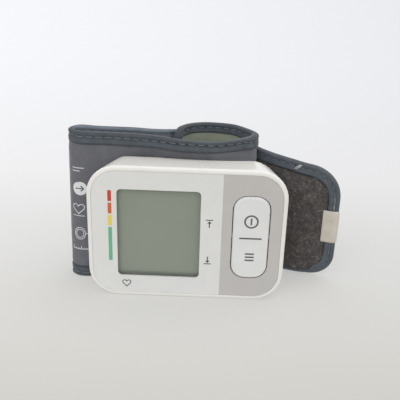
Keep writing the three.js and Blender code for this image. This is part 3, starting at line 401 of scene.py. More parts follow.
def shell(name, rows, material, body=None, painted_shades=None, flip=False):
    """Thin closed skin over rows of (point of the face, point of the back, place on the cloth)."""
    points, uvs = [], []
    for row in rows:
        face, back, flat = zip(*row)
        points += face + back[::-1]
        uvs += flat + flat[::-1]
    faces = tube_faces(len(rows), 2 * len(rows[0]))
    if flip:
        faces = [f[::-1] for f in faces]
    return piece(name, points, faces, material, body, uvs, painted_shades=painted_shades)


def ripple(u, v, scale, seed):
    """Smooth value from -1 to 1 that depends only on its place."""
    return noise.noise(Vector((u / scale, v / scale, 7.3 + seed)))


def within(value, low=0.0, high=1.0):
    return min(high, max(low, value))


# Route of the cuff
# x and y of the cuff's middle surface, from its inner end to the end of the flap. Lengths are in millimetres
ROUTE = [
    (-7.8, 30.9), (-6.3, 35.1), (-4.6, 39.7), (-1.2, 43.3), (4.8, 45.2), (12.5, 45.3), (19.5, 43.3),
    (25.3, 38.3), (28.6, 34), (28.9, 31), (26.4, 26.6), (22.6, 21.4), (17.5, 17.2), (11, 14.5),
    (3, 14.15), (-6, 15), (-15, 17), (-24, 17.95), (-34, 18), (-43, 18), (-49.8, 18.3), (-52.7, 21.5),
    (-49.8, 24.8), (-42.5, 25.7), (-34, 27.8), (-26, 30), (-18, 32.2), (-13.4, 34.8), (-9.6, 39.6),
    (-5.8, 45), (-0.3, 48.5), (7, 49.2), (13.5, 49.2), (21.2, 46.7), (28, 41.1), (32.8, 36.1),
    (38.5, 31.1), (45.5, 26.6), (53, 23.1), (61, 20.6), (69.5, 18.2),
]
# Upper and lower edge at stops of the route
TOP_EDGE = [
    (0, 65.3), (2, 65.7), (4, 66.3), (6, 66.2), (8, 65.6), (10, 65.7), (11, 66.1), (13, 66.1),
    (14, 66.2), (15, 66.6), (16, 67.3), (17, 67.6), (18, 67.7), (19, 67.8), (20, 67.9), (21, 68.4),
    (22, 68.8), (23, 68.2), (25, 66.9), (27, 65.2), (29, 62.6), (31, 60.6), (34, 57.6), (37, 56),
    (38, 54.9), (39, 54.5), (40, 54.5),
]
BOTTOM_EDGE = [(0, 0), (25, 0), (29, 0.8), (34, 0.7), (37, 0.25), (38, 0.75), (39, 1.6), (40, 1.7)]
# How far forward the foot of the left fold stands at stops of the route
LEAN_TABLE = [
    (18, 0), (18.2, 0.5), (18.4, 1.4), (18.6, 2.6), (18.8, 3.9), (19, 4.9), (19.25, 5.5), (19.5, 5.6),
    (20, 5.6), (20.5, 5.6), (21, 5.5), (21.5, 4.7), (22, 3.3), (22.25, 2.4), (22.5, 1.5), (22.75, 0.6),
    (23, 0),
]
LEAN_HEIGHT = 68.0
TIP_STOP, FOLD_STOP, LOOP_STOP, SEAM_STOP, FLAP_STOP, FREE_STOP = 4, 21, 27, 33, 34, 36
FLAP_SHORT = 1.6
TIP_TOP_CORNER, TIP_LOW_CORNER = 9.0, 6.0
FLAP_TOP_CORNER, FLAP_LOW_CORNER = 14.2, 10.5
# Points of the route between two stops
FINE = 60
# Step, reach and softness, in steps, with which the edges are smoothed
EDGE_STEP, EDGE_REACH, EDGE_SOFT = 0.5, 12, 5.0
HEADING_STEP = 0.6
CORNER_STATIONS, LEAST_STEP = 8, 0.12


def catmull(stops):
    """Centripetal spline through the stops, with FINE points to a stretch."""
    stops = [np.array(p, float) for p in stops]
    stops = [2 * stops[0] - stops[1], *stops, 2 * stops[-1] - stops[-2]]
    out = []
    for p0, p1, p2, p3 in zip(stops, stops[1:], stops[2:], stops[3:]):
        d0, d1, d2 = (math.sqrt(np.linalg.norm(b - a)) for a, b in ((p0, p1), (p1, p2), (p2, p3)))
        t1 = ((p1 - p0) / d0 - (p2 - p0) / (d0 + d1) + (p2 - p1) / d1) * d1
        t2 = ((p2 - p1) / d1 - (p3 - p1) / (d1 + d2) + (p3 - p2) / d2) * d1
        for k in range(FINE):
            u = k / FINE
            a = 2 * u**3 - 3 * u**2 + 1
            b = u**3 - 2 * u**2 + u
            out.append(a * p1 + b * t1 + (1 - a) * p2 + (u**3 - u**2) * t2)
    out.append(stops[-2])
    return np.array(out)


def lengths_of(points):
    """Distance along a line at each of its points."""
    return np.concatenate([[0], np.cumsum(np.linalg.norm(np.diff(points, axis=0), axis=1))])


LINE = catmull(ROUTE)
LENGTHS = lengths_of(LINE)


def stop(index):
    """Distance along the route at a stop."""
    return LENGTHS[round(FINE * index)]


def by_stops(table):
    """Distances along the route and the values there, from a table of (stop, value)."""
    return np.array([stop(k) for k, _ in table]), np.array([value for _, value in table], float)


def look_up(s, table):
    return float(np.interp(s, *table))


FOLD, SEAM, FLAP_AT = stop(FOLD_STOP), stop(SEAM_STOP), stop(FLAP_STOP)
FLAP_END = stop(len(ROUTE) - 1) - FLAP_SHORT


def smooth_edge(table):
    """Edge heights along the route without the table's kinks."""
    even = np.arange(0, LENGTHS[-1], EDGE_STEP)
    heights = np.interp(even, LENGTHS, np.interp(LENGTHS, *by_stops(table)))
    weights = np.exp(-(np.arange(-EDGE_REACH, EDGE_REACH + 1) / EDGE_SOFT) ** 2)
    padded = np.pad(heights, EDGE_REACH, mode="edge")
    return even, np.convolve(padded, weights / weights.sum(), mode="valid")


TOP, BOTTOM = smooth_edge(TOP_EDGE), smooth_edge(BOTTOM_EDGE)
LEAN = by_stops(LEAN_TABLE)


def edge(s, top):
    return look_up(s, TOP if top else BOTTOM)


def along(s):
    """Point of the middle surface, run on straight past the ends."""
    if s < 0:
        return LINE[0] + (LINE[0] - LINE[1]) / np.linalg.norm(LINE[0] - LINE[1]) * -s
    if s > LENGTHS[-1]:
        return LINE[-1] + (LINE[-1] - LINE[-2]) / np.linalg.norm(LINE[-1] - LINE[-2]) * (s - LENGTHS[-1])
    return np.array([np.interp(s, LENGTHS, LINE[:, 0]), np.interp(s, LENGTHS, LINE[:, 1])])


def heading(s):
    ahead = along(s + HEADING_STEP) - along(s - HEADING_STEP)
    return ahead / np.linalg.norm(ahead)


def outward(s):
    ahead = heading(s)
    return np.array([-ahead[1], ahead[0]])


def at(s, offset, z):
    """Point at a distance along the route, an offset to the outer side and a height."""
    p = along(s) + outward(s) * offset
    return (p[0], p[1] - look_up(s, LEAN) * (1 - z / LEAN_HEIGHT), z)


def drawn(corner, inset, past):
    """How far a round corner draws an edge in, at a distance past the corner's start."""
    radius = corner - inset
    into = min(max(past, 0), radius)
    return radius - math.sqrt(max(0, radius * radius - into * into))


def edges(s, inset):
    """Lower and upper edge drawn in by an inset, with round corners at both ends of the cuff."""
    top = drawn(TIP_TOP_CORNER, inset, TIP_TOP_CORNER - s)
    top += drawn(FLAP_TOP_CORNER, inset, s - (FLAP_END - FLAP_TOP_CORNER))
    bottom = drawn(TIP_LOW_CORNER, inset, TIP_LOW_CORNER - s)
    bottom += drawn(FLAP_LOW_CORNER, inset, s - (FLAP_END - FLAP_LOW_CORNER))
    return edge(s, False) + inset + bottom, edge(s, True) - inset - top


def stations(start, end, step):
    """Even stations, closer together near a rounded end of the cuff."""
    even = list(np.linspace(start, end, max(2, round((end - start) / step) + 1)))
    corners = [(TIP_TOP_CORNER, 0, -1), (TIP_LOW_CORNER, 0, -1)]
    corners += [(FLAP_TOP_CORNER, FLAP_END, 1), (FLAP_LOW_CORNER, FLAP_END, 1)]
    for corner, base, side in corners:
        for k in range(1, CORNER_STATIONS):
            angle = k * math.pi / (2 * CORNER_STATIONS)
            even.append(base - side * corner * (1 - math.sin(angle)))
    kept = sorted(s for s in even if start <= s <= end)
    return [s for k, s in enumerate(kept) if k == 0 or s - kept[k - 1] > LEAST_STEP or s == kept[-1]]


# Sizes of the folded edging
GROOVE, TAPE_WIDTH, TAPE_CAP = 2.05, 5.0, 1.7
# Offset, depth below the crest, and how much painted shade the spot gets: in the seam's groove, along the
# lower edge and over the crest
OUTER_SKIN = [
    (0.86, 4.3, 1.0), (0.98, 4.92, 1.0), (1.38, 5.0, 1.0), (1.62, 4.8, 0.45), (1.66, 4.2, 0.0),
    (1.64, 3.3, 0.0), (1.52, 2.65, 0.25), (1.30, 2.3, 0.8), (1.2, GROOVE, 1.0), (1.30, 1.8, 0.8),
    (1.52, 1.45, 0.2), (1.64, 0.95, 0.1), (1.46, 0.42, 0.3), (0.9, 0.1, 0.4), (0.0, 0.0, 0.4),
]
INNER_SKIN = [(-offset, depth, painted_shade) for offset, depth, painted_shade in OUTER_SKIN[-2::-1]]
FOLD_CORE = [(-0.85, 1.4, 1.0), (0.85, 1.4, 1.0)]
FOLD_RING = OUTER_SKIN + INNER_SKIN + FOLD_CORE
SKIN_COUNT = len(OUTER_SKIN + INNER_SKIN)
SKIN_STEP = 0.7
# Stop, width of the upper tape and depth of its seam
TAPE_TABLE = [
    (0, 4.4, 2.0), (6, 4.6, 2.0), (8, 5.5, 2.6), (10, 5.8, 2.8), (11, 4.8, 1.5), (12, 4.5, 1.35),
    (13, 4.5, 1.4), (14, 4.7, 1.25), (15, 5.0, 1.6), (16, 5.2, 2.1), (17, 5.4, 2.2), (18, 5.4, 2.0),
    (21, 5.3, 2.0), (24, 5.0, 2.1), (34, 5.0, 2.05), (36, 4.9, 2.3), (40, 4.9, 2.3),
]
TAPE_WIDTHS = by_stops([(k, width) for k, width, _ in TAPE_TABLE])
TAPE_SEAMS = by_stops([(k, seam) for k, _, seam in TAPE_TABLE])
FLAP_TAPE, TIP_TAPE = (4.9, 2.3), (3.6, 1.7)
# Direction from the crest into the tape on the upper edge, and where it counts as level
FROM_TOP, LEVEL = -1.0, -0.99
# Stop, width and reach of the inner tape's extra width, where two layers meet
HIDDEN_TAPE = [(FOLD_STOP, 4.5, 14.0), (LOOP_STOP, 1.8, 13.0)]
# Strength of the painted shade in the seam's groove at stops of the route
SEAM_PAINTED_SHADE = by_stops([
    (0, 0.5), (9.5, 0.5), (10.5, 0.9), (12, 1.0), (15.5, 1.0), (17, 0.2), (22, 0.2), (24, 0.5), (40, 0.5),
])
GROOVE_HALF = 0.5
# Painted light on the inner side of the strap's upper edging and of the flap's edging, and the share of
# painted shade kept there
INNER_PAINTED_LIGHT, FLAP_PAINTED_LIGHT, LIT_SIDE_SHADE_SHARE = 1.45, 0.2, 0.4
PINCH, PINCH_REACH = 0.05, 0.6
STITCH_PITCH, STITCH_LENGTH, STITCH_RADIUS = 4.1, 3.0, 0.22
STITCH_RINGS, STITCH_SIDES = 7, 6
# Where the first stitch starts on the outer and the inner side
STITCH_STARTS = {1: 0.8, -1: 2.6}


def tape_at(s, into):
    """Width of the tape and depth of its seam. They vary most on the level upper edge."""
    if into <= LEVEL:
        return look_up(s, TAPE_WIDTHS), look_up(s, TAPE_SEAMS)
    if s < stop(TIP_STOP):
        return TIP_TAPE
    free = within((s - FLAP_AT) / (stop(FREE_STOP) - FLAP_AT))
    return TAPE_WIDTH + free * (FLAP_TAPE[0] - TAPE_WIDTH), GROOVE + free * (FLAP_TAPE[1] - GROOVE)


# Cloth of the cuff
CLOTH_FACE, CLOTH_BACK = 1.14, 0.62
CLOTH_INSET, CLOTH_STEP = 1.0, 1.0
COLUMNS = 30
SHARES = [j / (COLUMNS - 1) for j in range(COLUMNS)]
PUFF_CAP, DIP_CAP = 0.42, -0.25
CROWN_RISE, BROAD_WAVE, FINE_WAVE, SIM_SHARE = 0.12, 0.16, 0.07, 0.8
# How deep the cloth lies under its edging, and over which width it comes up beside it
UNDER_TAPE, UNDER_REACH = 0.33, 1.8
SIM_SCALE, SIM_FRAMES = 20.0, 18
CLOTH_SETTINGS = {
    "quality": 6, "mass": 0.3, "air_damping": 4, "tension_stiffness": 20, "compression_stiffness": 20,
    "shear_stiffness": 12, "bending_stiffness": 1.5, "shrink_min": -0.012, "use_pressure": True,
    "uniform_pressure_force": 1.4, "vertex_group_mass": "held",
}
# Painted shade on the outer cloth behind the housing, and painted light where it is below zero, at stops of
# the route
CLOTH_PAINTED_SHADE = by_stops([(10, -0.3), (12.4, -0.4), (13.4, 0.45), (16.6, 0.5), (17.6, 0.0)])
SHEETS = {}


def billow(rest):
    """Lets a sheet of cloth, held along its border, swell and wrinkle. rest is rows x columns x 3."""
    rows, columns, _ = rest.shape
    points = rest.reshape(-1, 3) * MM * SIM_SCALE
    index = np.arange(rows * columns).reshape(rows, columns)
    faces = np.stack([index[:-1, :-1], index[1:, :-1], index[1:, 1:], index[:-1, 1:]], axis=-1)
    mesh = bpy.data.meshes.new("slack_sheet")
    mesh.from_pydata(points.tolist(), [], faces.reshape(-1, 4).tolist())
    sheet = bpy.data.objects.new("slack_sheet", mesh)
    scene.collection.objects.link(sheet)
    held = sheet.vertex_groups.new(name="held")
    held.add(np.setdiff1d(index, index[1:-1, 2:-2]).tolist(), 1.0, "REPLACE")
    swell = sheet.modifiers.new("swell", "CLOTH")
    for key, value in CLOTH_SETTINGS.items():
        setattr(swell.settings, key, value)
    swell.settings.effector_weights.gravity = 0
    swell.collision_settings.use_collision = False
    swell.point_cache.frame_start = 1
    swell.point_cache.frame_end = SIM_FRAMES + 2
    for number in range(1, SIM_FRAMES + 1):
        scene.frame_set(number)
    shape = sheet.evaluated_get(bpy.context.evaluated_depsgraph_get()).data
    moved = np.zeros(rows * columns * 3, np.float32)
    shape.vertices.foreach_get("co", moved)
    bpy.data.objects.remove(sheet)
    bpy.data.meshes.remove(mesh)
    scene.frame_set(1)
    return moved.reshape(rows, columns, 3).astype(float) / MM / SIM_SCALE


def crown(t):
    """Round rise across a width: zero at both ends, one in the middle."""
    return math.sqrt(max(0.0, 4 * t * (1 - t)))


def panel(name, start, end, side, body=None):
    """Outer cloth, or lining where side is -1: a thin shell whose face swells between its seams."""
    outer = side > 0
    stops = stations(start, end, CLOTH_STEP)
    face = np.zeros((len(stops), COLUMNS, 3))
    normals = np.zeros((len(stops), 2))
    back, uvs = [], []
    for i, s in enumerate(stops):
        bottom, top = edges(s, CLOTH_INSET)
        heights = [bottom + (top - bottom) * t for t in SHARES]
        normals[i] = outward(s) * side
        face[i] = [at(s, side * CLOTH_FACE, z) for z in heights]
        back.append([at(s, side * CLOTH_BACK, z) for z in heights])
        uvs.append([(s, z) for z in heights])
    lift = np.zeros(face.shape[:2])
    if outer:
        lift = ((billow(face) - face)[:, :, :2] * normals[:, None, :]).sum(axis=2)
    for i, s in enumerate(stops):
        bottom, top = face[i, 0, 2], face[i, -1, 2]
        width = tape_at(s, FROM_TOP)[0]
        for j, t in enumerate(SHARES):
            z = face[i, j, 2]
            waves = BROAD_WAVE * ripple(s, z * 0.6, 13.0, side) + FINE_WAVE * ripple(s * 1.4, z, 5.0, side)
            rise = CROWN_RISE * crown(t) + SIM_SHARE * lift[i, j] + waves * min(1.0, 3 * crown(t) ** 2)
            clear = min(z - bottom + CLOTH_INSET - TAPE_WIDTH, top - z + CLOTH_INSET - width)
            under = within(0.8 - clear / UNDER_REACH)
            rise = within(rise, DIP_CAP, PUFF_CAP) * (1 - under) - UNDER_TAPE * under
            face[i, j, :2] += normals[i] * rise
    SHEETS[name] = (np.array(stops), face)
    rows = [list(zip(*row)) for row in zip(face, back, uvs)]
    # Painted shade behind the housing, and painted light where the value is below zero
    painted_shades = [look_up(s, CLOTH_PAINTED_SHADE) for s in stops for _ in range(2 * COLUMNS)]
    material, slot = (CLOTH, "cuff_cloth") if outer else (LINING, "cuff_lining")
    return shell(name, rows, material, body, painted_shades, flip=outer)


# Folded edging: a path holds distance along the route, height, and the direction into the tape


def on_tape(depth, width, seam):
    """Depth on a tape of another width."""
    if depth <= GROOVE:
        return depth * seam / GROOVE
    return seam + (depth - GROOVE) * (width - seam) / (TAPE_WIDTH - GROOVE)


def edge_path(start, end, top):
    """Level edge of the cuff."""
    count = max(2, round(abs(end - start) / 0.8) + 1)
    into = FROM_TOP if top else -FROM_TOP
    return [(s, edge(s, top), 0.0, into) for s in np.linspace(start, end, count)]


def corner_path(corner, end, side, top):
    """Round corner from the level edge to the upright end."""
    up = 1 if top else -1
    out = []
    for k in range(1, 17):
        angle = k * math.pi / 32
        s = end - side * corner * (1 - math.sin(angle))
        z = edge(s, top) - up * corner * (1 - math.cos(angle))
        out.append((s, z, -side * math.sin(angle), -up * math.cos(angle)))
    return out


def upright_path(first, last):
    """Straight end of the cuff between two corners."""
    count = max(2, round(abs(last[1] - first[1]) / 0.9))
    rise = last[1] - first[1]
    return [(first[0], first[1] + rise * (k / count), first[2], 0.0) for k in range(1, count)]


def end_path(top_corner, low_corner, end, side):
    """End of the cuff, from its upper edge to its lower edge."""
    upper = corner_path(top_corner, end, side, True)
    lower = corner_path(low_corner, end, side, False)[::-1]
    return upper + upright_path(upper[-1], lower[0]) + lower


def run_of(path):
    return lengths_of(np.array([at(s, 0, z) for s, z, _, _ in path]))


def slim(s):
    """How much thinner the edging is, round the left fold."""
    return 0.22 * math.exp(-((s - FOLD) / 6.5) ** 2)


def edging(name, path, body=None, inner_painted_light=0.0):
    """Folded tape along a path, with painted shade in its groove, along its lower edge and over its crest;
    painted light may make its inner side paler.
    """
    rings, uvs, painted_shades = [], [], []
    for (s, z, in_s, in_z), run in zip(path, run_of(path)):
        pucker = PINCH * (0.5 + 0.5 * math.cos(2 * math.pi * run / STITCH_PITCH))
        fat = (1 - slim(s)) * (1 + 0.03 * ripple(s, z, 6.0, 3))
        sway = 0.22 * ripple(s, z, 11.0, 5)
        width, seam = tape_at(s, in_z)
        inner_width = width + sum(w * math.exp(-((s - stop(k)) / far) ** 2) for k, w, far in HIDDEN_TAPE)
        groove_painted_shade = look_up(s, SEAM_PAINTED_SHADE)
        for k, (offset, depth, painted_shade) in enumerate(FOLD_RING):
            skin = k < SKIN_COUNT
            pinch = pucker * math.exp(-((depth - GROOVE) / PINCH_REACH) ** 2) if skin else 0
            offset = math.copysign(max(0, min(TAPE_CAP, abs(offset) * fat) - pinch), offset)
            wide = inner_width if skin and offset < 0 else width
            reach = on_tape(depth, wide, seam) + sway * (depth / TAPE_WIDTH) ** 2
            rings.append(at(s + in_s * reach, offset, z + in_z * reach))
            uvs.append((run, SKIN_STEP * k))
            # Painted shade in the seam's groove, by its strength along the route
            if skin and abs(depth - GROOVE) < GROOVE_HALF:
                painted_shade *= groove_painted_shade
            # Painted light: the inner side is painted paler, with less painted shade
            if inner_painted_light and offset < 0:
                painted_shade = painted_shade * LIT_SIDE_SHADE_SHARE - inner_painted_light
            painted_shades.append(painted_shade)
    faces = tube_faces(len(path), len(FOLD_RING))
    return piece(name, rings, faces, TAPE, body, uvs, painted_shades=painted_shades)


def stitches(name, path, body=None):
    """Thread dashes that lie in the groove of the edging, on both its sides."""
    runs = run_of(path)
    columns = [np.array([p[k] for p in path]) for k in range(4)]
    points, faces, uvs = [], [], []
    for side, start in STITCH_STARTS.items():
        while start + STITCH_LENGTH < runs[-1] - 0.3:
            base = len(points)
            for i in range(STITCH_RINGS):
                t = i / (STITCH_RINGS - 1)
                run = start + STITCH_LENGTH * t
                s, z, in_s, in_z = (float(np.interp(run, runs, c)) for c in columns)
                depth = on_tape(GROOVE, *tape_at(s, in_z)) + 0.1 * ripple(run, side, 2.0, 9)
                round_end = math.sqrt(max(0.02, 1 - (2 * t - 1) ** 4))
                radius = STITCH_RADIUS * (0.35 + 0.65 * round_end)
                lift = (1.2 + 0.2 * round_end) * (1 - slim(s))
                for k in range(STITCH_SIDES):
                    angle = 2 * math.pi * k / STITCH_SIDES
                    d = depth + radius * math.cos(angle)
                    o = side * (lift + radius * math.sin(angle))
                    points.append(at(s + in_s * d, o, z + in_z * d))
                    uvs.append((run, k * 0.2))
            faces.extend(tube_faces(STITCH_RINGS, STITCH_SIDES, base))
            start += STITCH_PITCH
    return piece(name, points, faces, THREAD, body, uvs)


ROOT_PATH = edge_path(FOLD, TIP_TOP_CORNER, True) + end_path(TIP_TOP_CORNER, TIP_LOW_CORNER, 0.0, -1)
ROOT_PATH += edge_path(TIP_LOW_CORNER, FOLD, False)
FLAP_PATH = edge_path(SEAM, FLAP_END - FLAP_TOP_CORNER, True)
FLAP_PATH += end_path(FLAP_TOP_CORNER, FLAP_LOW_CORNER, FLAP_END, 1)
FLAP_PATH += edge_path(FLAP_END - FLAP_LOW_CORNER, SEAM, False)
STRAP_TOP, STRAP_BOTTOM = edge_path(FOLD, SEAM, True), edge_path(FOLD, SEAM, False)

# Fixed part of the cuff: inner end, wrist loop and the layer along the back of the housing
root_cloth = panel("cuff_cloth", CLOTH_INSET, FOLD, 1, "monitor")
root_lining = panel("cuff_inner", CLOTH_INSET, FOLD, -1, "monitor")
root_edging = edging("cuff_edging", ROOT_PATH, "monitor")
stitches("cuff_stitches", ROOT_PATH, "monitor")
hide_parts("cuff_fabric")
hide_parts("cuff_lining")
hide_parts("cuff_binding")

# Strap: the cuff from the left fold to the seam
strap_parts = [
    panel("strap_cloth", FOLD, SEAM, 1),
    panel("strap_inner", FOLD, SEAM, -1),
    edging("strap_edging_top", STRAP_TOP, inner_painted_light=INNER_PAINTED_LIGHT),
    edging("strap_edging_bottom", STRAP_BOTTOM),
    stitches("strap_stitches_top", STRAP_TOP),
    stitches("strap_stitches_bottom", STRAP_BOTTOM),
]
for part in strap_parts:
    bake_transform(part)
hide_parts("strap_fabric", "strap_core")
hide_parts("strap_lining")
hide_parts("strap_binding_top")
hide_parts("strap_binding_bottom")

# Flap: the cuff from the seam to its end
flap_parts = [
    panel("flap_cloth", SEAM, FLAP_END - CLOTH_INSET, 1),
    panel("flap_inner", SEAM, FLAP_END - CLOTH_INSET, -1),
    edging("flap_edging", FLAP_PATH, inner_painted_light=FLAP_PAINTED_LIGHT),
    stitches("flap_stitches", FLAP_PATH),
]
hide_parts("flap_fabric", "flap_core")
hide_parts("flap_lining")
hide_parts("flap_binding")

# Hook patch on the flap's inner side
HOOK_INSET, HOOK_FOOT = 4.8, 1.5
HOOK_END = FLAP_END - HOOK_INSET
HOOK_BACK, HOOK_FACE = -1.22, -1.9
HOOK_STEP, HOOK_COLUMNS = 0.8, 58
# Width of the patch's rounded edge and of the painted shadow along its rim
HOOK_ROUND, HOOK_RIM = 0.8, 1.1
# Where the patch leaves the lower tape, before the flap's end, and over which length
HOOK_TURN, HOOK_TURN_LENGTH = 13.0, 7.0
FIBRE_COUNT, FIBRE_POINTS = 7000, 4


def hook_edges(s, more=0.0):
    """The patch covers the lower tape up to the flap's round corner."""
    turned = within((s - FLAP_END + HOOK_TURN) / HOOK_TURN_LENGTH)
    foot = HOOK_FOOT + (HOOK_INSET - HOOK_FOOT) * turned * turned * (3 - 2 * turned)
    return edges(s, foot + more)[0], edges(s, HOOK_INSET + more)[1]


def hook_patch():
    """Rough pile, sunk along its rim, with a painted shadow there."""
    stops = stations(FLAP_AT + 0.3, HOOK_END, HOOK_STEP)
    rows, painted_shades = [], []
    for s in stops:
        bottom, top = hook_edges(s)
        row, clear = [], []
        for j in range(HOOK_COLUMNS):
            t = j / (HOOK_COLUMNS - 1)
            z = bottom + (top - bottom) * t
            rim = min(1.0, min(t, 1 - t) * (top - bottom) / HOOK_ROUND, (HOOK_END - s) / HOOK_ROUND + 0.15)
            rough = 0.1 * ripple(s, z, 1.1, 2) + 0.12 * ripple(s, z, 3.1, 4)
            face = at(s, HOOK_BACK + (HOOK_FACE - HOOK_BACK + rough) * (0.35 + 0.65 * rim), z)
            row.append((face, at(s, HOOK_BACK, z), (s, z)))
            clear.append(min(top - z, z - bottom, HOOK_END - s))
        rows.append(row)
        # Painted shadow near the rim
        painted_shades.extend(max(0.0, 1 - c / HOOK_RIM) for c in clear + clear[::-1])
    return shell("hook_pile", rows, HOOK, painted_shades=painted_shades)


def hook_fibres():
    """Short curled fibres over the hook patch."""
    rng = np.random.default_rng(11)
    points, faces = [], []
    first, last = FLAP_AT + 0.6, HOOK_END - HOOK_RIM
    for _ in range(FIBRE_COUNT):
        s = first + (last - first) * rng.random()
        bottom, top = hook_edges(s, HOOK_RIM)
        z = bottom + (top - bottom) * rng.random()
        lean = rng.random() * 2 * math.pi
        length = 0.35 + 0.5 * rng.random()
        rise = 0.16 + 0.3 * rng.random()
        width = 0.05 + 0.05 * rng.random()
        ds, dz = math.cos(lean) * length, math.sin(lean) * length
        ws, wz = -math.sin(lean) * width, math.cos(lean) * width
        base = len(points)
        for k in range(FIBRE_POINTS):
            t = k / (FIBRE_POINTS - 1)
            lift = HOOK_FACE + 0.08 - rise * math.sin(math.pi * (0.12 + 0.75 * t))
            narrow = 1 - 0.6 * t
            for w in (-1, 1):
                points.append(at(s + ds * t + w * ws * narrow, lift, z + dz * t + w * wz * narrow))
        faces += band_faces(FIBRE_POINTS, base)
    return piece("hook_fibres", points, faces, FIBRE, None)


# Pull tab folded over the end of the flap, and a loose thread
TAB_LOW, TAB_HIGH, TAB_LENGTH, TAB_SKIN = 19.2, 34.7, 6.7, 0.42
TAB_INNER, TAB_OUTER, TAB_BEND = -2.02, 1.82, 1.9
TAB_STEPS, TAB_BEND_STEPS, TAB_ROWS = 10, 16, 16
FRAY_COUNT, FRAY_RINGS, FRAY_SIDES = 14, 8, 5


def pull_tab():
    """Tape that runs along the flap's inner side, round its end and back along the outer side."""
    end = FLAP_END + 0.15 - TAB_BEND
    middle, half = (TAB_INNER + TAB_OUTER) / 2, (TAB_OUTER - TAB_INNER) / 2
    route = [(s, TAB_INNER, 0, -1) for s in np.linspace(FLAP_END - TAB_LENGTH, end, TAB_STEPS)]
    for k in range(1, TAB_BEND_STEPS):
        angle = math.pi * k / TAB_BEND_STEPS
        out, across = math.sin(angle), -math.cos(angle)
        route.append((end + (TAB_BEND + 0.05) * out, middle + half * across, out, across))
    route += [(s, TAB_OUTER, 0, 1) for s in np.linspace(end, FLAP_END - TAB_LENGTH, TAB_STEPS)]
    rows = []
    run = 0.0
    for i, (s, offset, n_s, n_o) in enumerate(route):
        row = []
        if i:
            run += math.hypot(s - route[i - 1][0], offset - route[i - 1][1])
        back = within((i - 13) / 3)
        foot, height = TAB_LOW + 0.4 * back, TAB_HIGH - TAB_LOW - 2.0 * back
        for j in range(TAB_ROWS):
            t = j / (TAB_ROWS - 1)
            z = foot + height * t + 0.1 * ripple(run, t * 3, 2.5, 21)
            lift = TAB_SKIN * (0.75 + 0.25 * crown(t)) + 0.08 * ripple(run, z, 4.0, 17)
            face = at(s + n_s * lift * 0.7, offset + n_o * lift, z)
            row.append((face, at(s, offset, z), (run, z)))
        rows.append(row)
    return shell("pull_tape", rows, TAB)


def frayed_thread():
    """Small tuft of loose thread on the flap's upper edging."""
    rng = np.random.default_rng(4)
    points, faces = [], []
    middle = stop(37) + 4.2
    for _ in range(FRAY_COUNT):
        start = middle - 1.9 + 1.1 * rng.random()
        bow = 0.5 * rng.random()
        base = len(points)
        for i in range(FRAY_RINGS):
            t = i / (FRAY_RINGS - 1)
            s = start + 2.4 * t
            z = edge(s, True) - 3.7 + 2.7 * t + bow * math.sin(math.pi * t) * 0.9
            o = -1.78 - 0.35 * math.sin(math.pi * min(1, t * 1.1)) - 0.1 * bow
            radius = 0.3 * (1 - 0.4 * abs(2 * t - 1))
            for k in range(FRAY_SIDES):
                angle = 2 * math.pi * k / FRAY_SIDES
                points.append(at(s + radius * math.cos(angle), o, z + radius * math.sin(angle)))
        faces.extend(tube_faces(FRAY_RINGS, FRAY_SIDES, base))
    return piece("frayed_thread", points, faces, FRAY, None)


hooks, fibres, tape, fray = hook_patch(), hook_fibres(), pull_tab(), frayed_thread()
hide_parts("hook_patch")
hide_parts("pull_tab")
for part in flap_parts + [hooks, fibres, tape, fray]:
    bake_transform(part)


# Shapes of the printed signs, as points (u, v) and faces


def stroke(points, width):
    """Flat band of even width along a line of points."""
    points = [np.array(p, float) for p in points]
    out = []
    for i, p in enumerate(points):
        ahead = points[min(i + 1, len(points) - 1)] - points[max(i - 1, 0)]
        ahead /= np.linalg.norm(ahead)
        side = np.array([-ahead[1], ahead[0]]) * width / 2
        out += [tuple(p + side), tuple(p - side)]
    return out, band_faces(len(points))


def arc(u, v, radius, start, end, steps, squeeze=1.0):
    """Points of an arc between two angles in degrees."""
    angles = [math.radians(a) for a in np.linspace(start, end, steps + 1)]
    return [(u + radius * squeeze * math.cos(a), v + radius * math.sin(a)) for a in angles]


def ring(u, v, radius, width):
    """Upright oval."""
    return stroke(arc(u, v, radius, 0, 360, 28, squeeze=0.8), width)


def disc(u, v, radius, rings=6, steps=28):
    """Filled disc, cut finely enough to follow a curved surface."""
    out = [(u, v)]
    for r in range(1, rings + 1):
        out += arc(u, v, radius * r / rings, 0, 360, steps)[:-1]
    faces = [(0, 1 + k, 1 + (k + 1) % steps) for k in range(steps)]
    for r in range(rings - 1):
        a, b = 1 + r * steps, 1 + (r + 1) * steps
        for k in range(steps):
            j = (k + 1) % steps
            faces.append((a + k, b + k, b + j, a + j))
    return out, faces


def bar(u0, u1, v0, v1, radius=0.3):
    """Filled rectangle with round corners."""
    left, right, foot, head = u0 + radius, u1 - radius, v0 + radius, v1 - radius
    out = [((u0 + u1) / 2, (v0 + v1) / 2)]
    for u, v, a in ((right, head, 0), (left, head, 90), (left, foot, 180), (right, foot, 270)):
        out += arc(u, v, radius, a, a + 90, 6)
    count = len(out) - 1
    return out, [(0, 1 + k, 1 + (k + 1) % count) for k in range(count)]


def line(*points):
    """Straight lines, cut finely enough to follow a curved surface."""
    out = []
    for a, b in zip(points, points[1:]):
        count = max(1, math.ceil(math.dist(a, b) / 0.5))
        out += [(a[0] + (b[0] - a[0]) * k / count, a[1] + (b[1] - a[1]) * k / count) for k in range(count)]
    return out + [points[-1]]


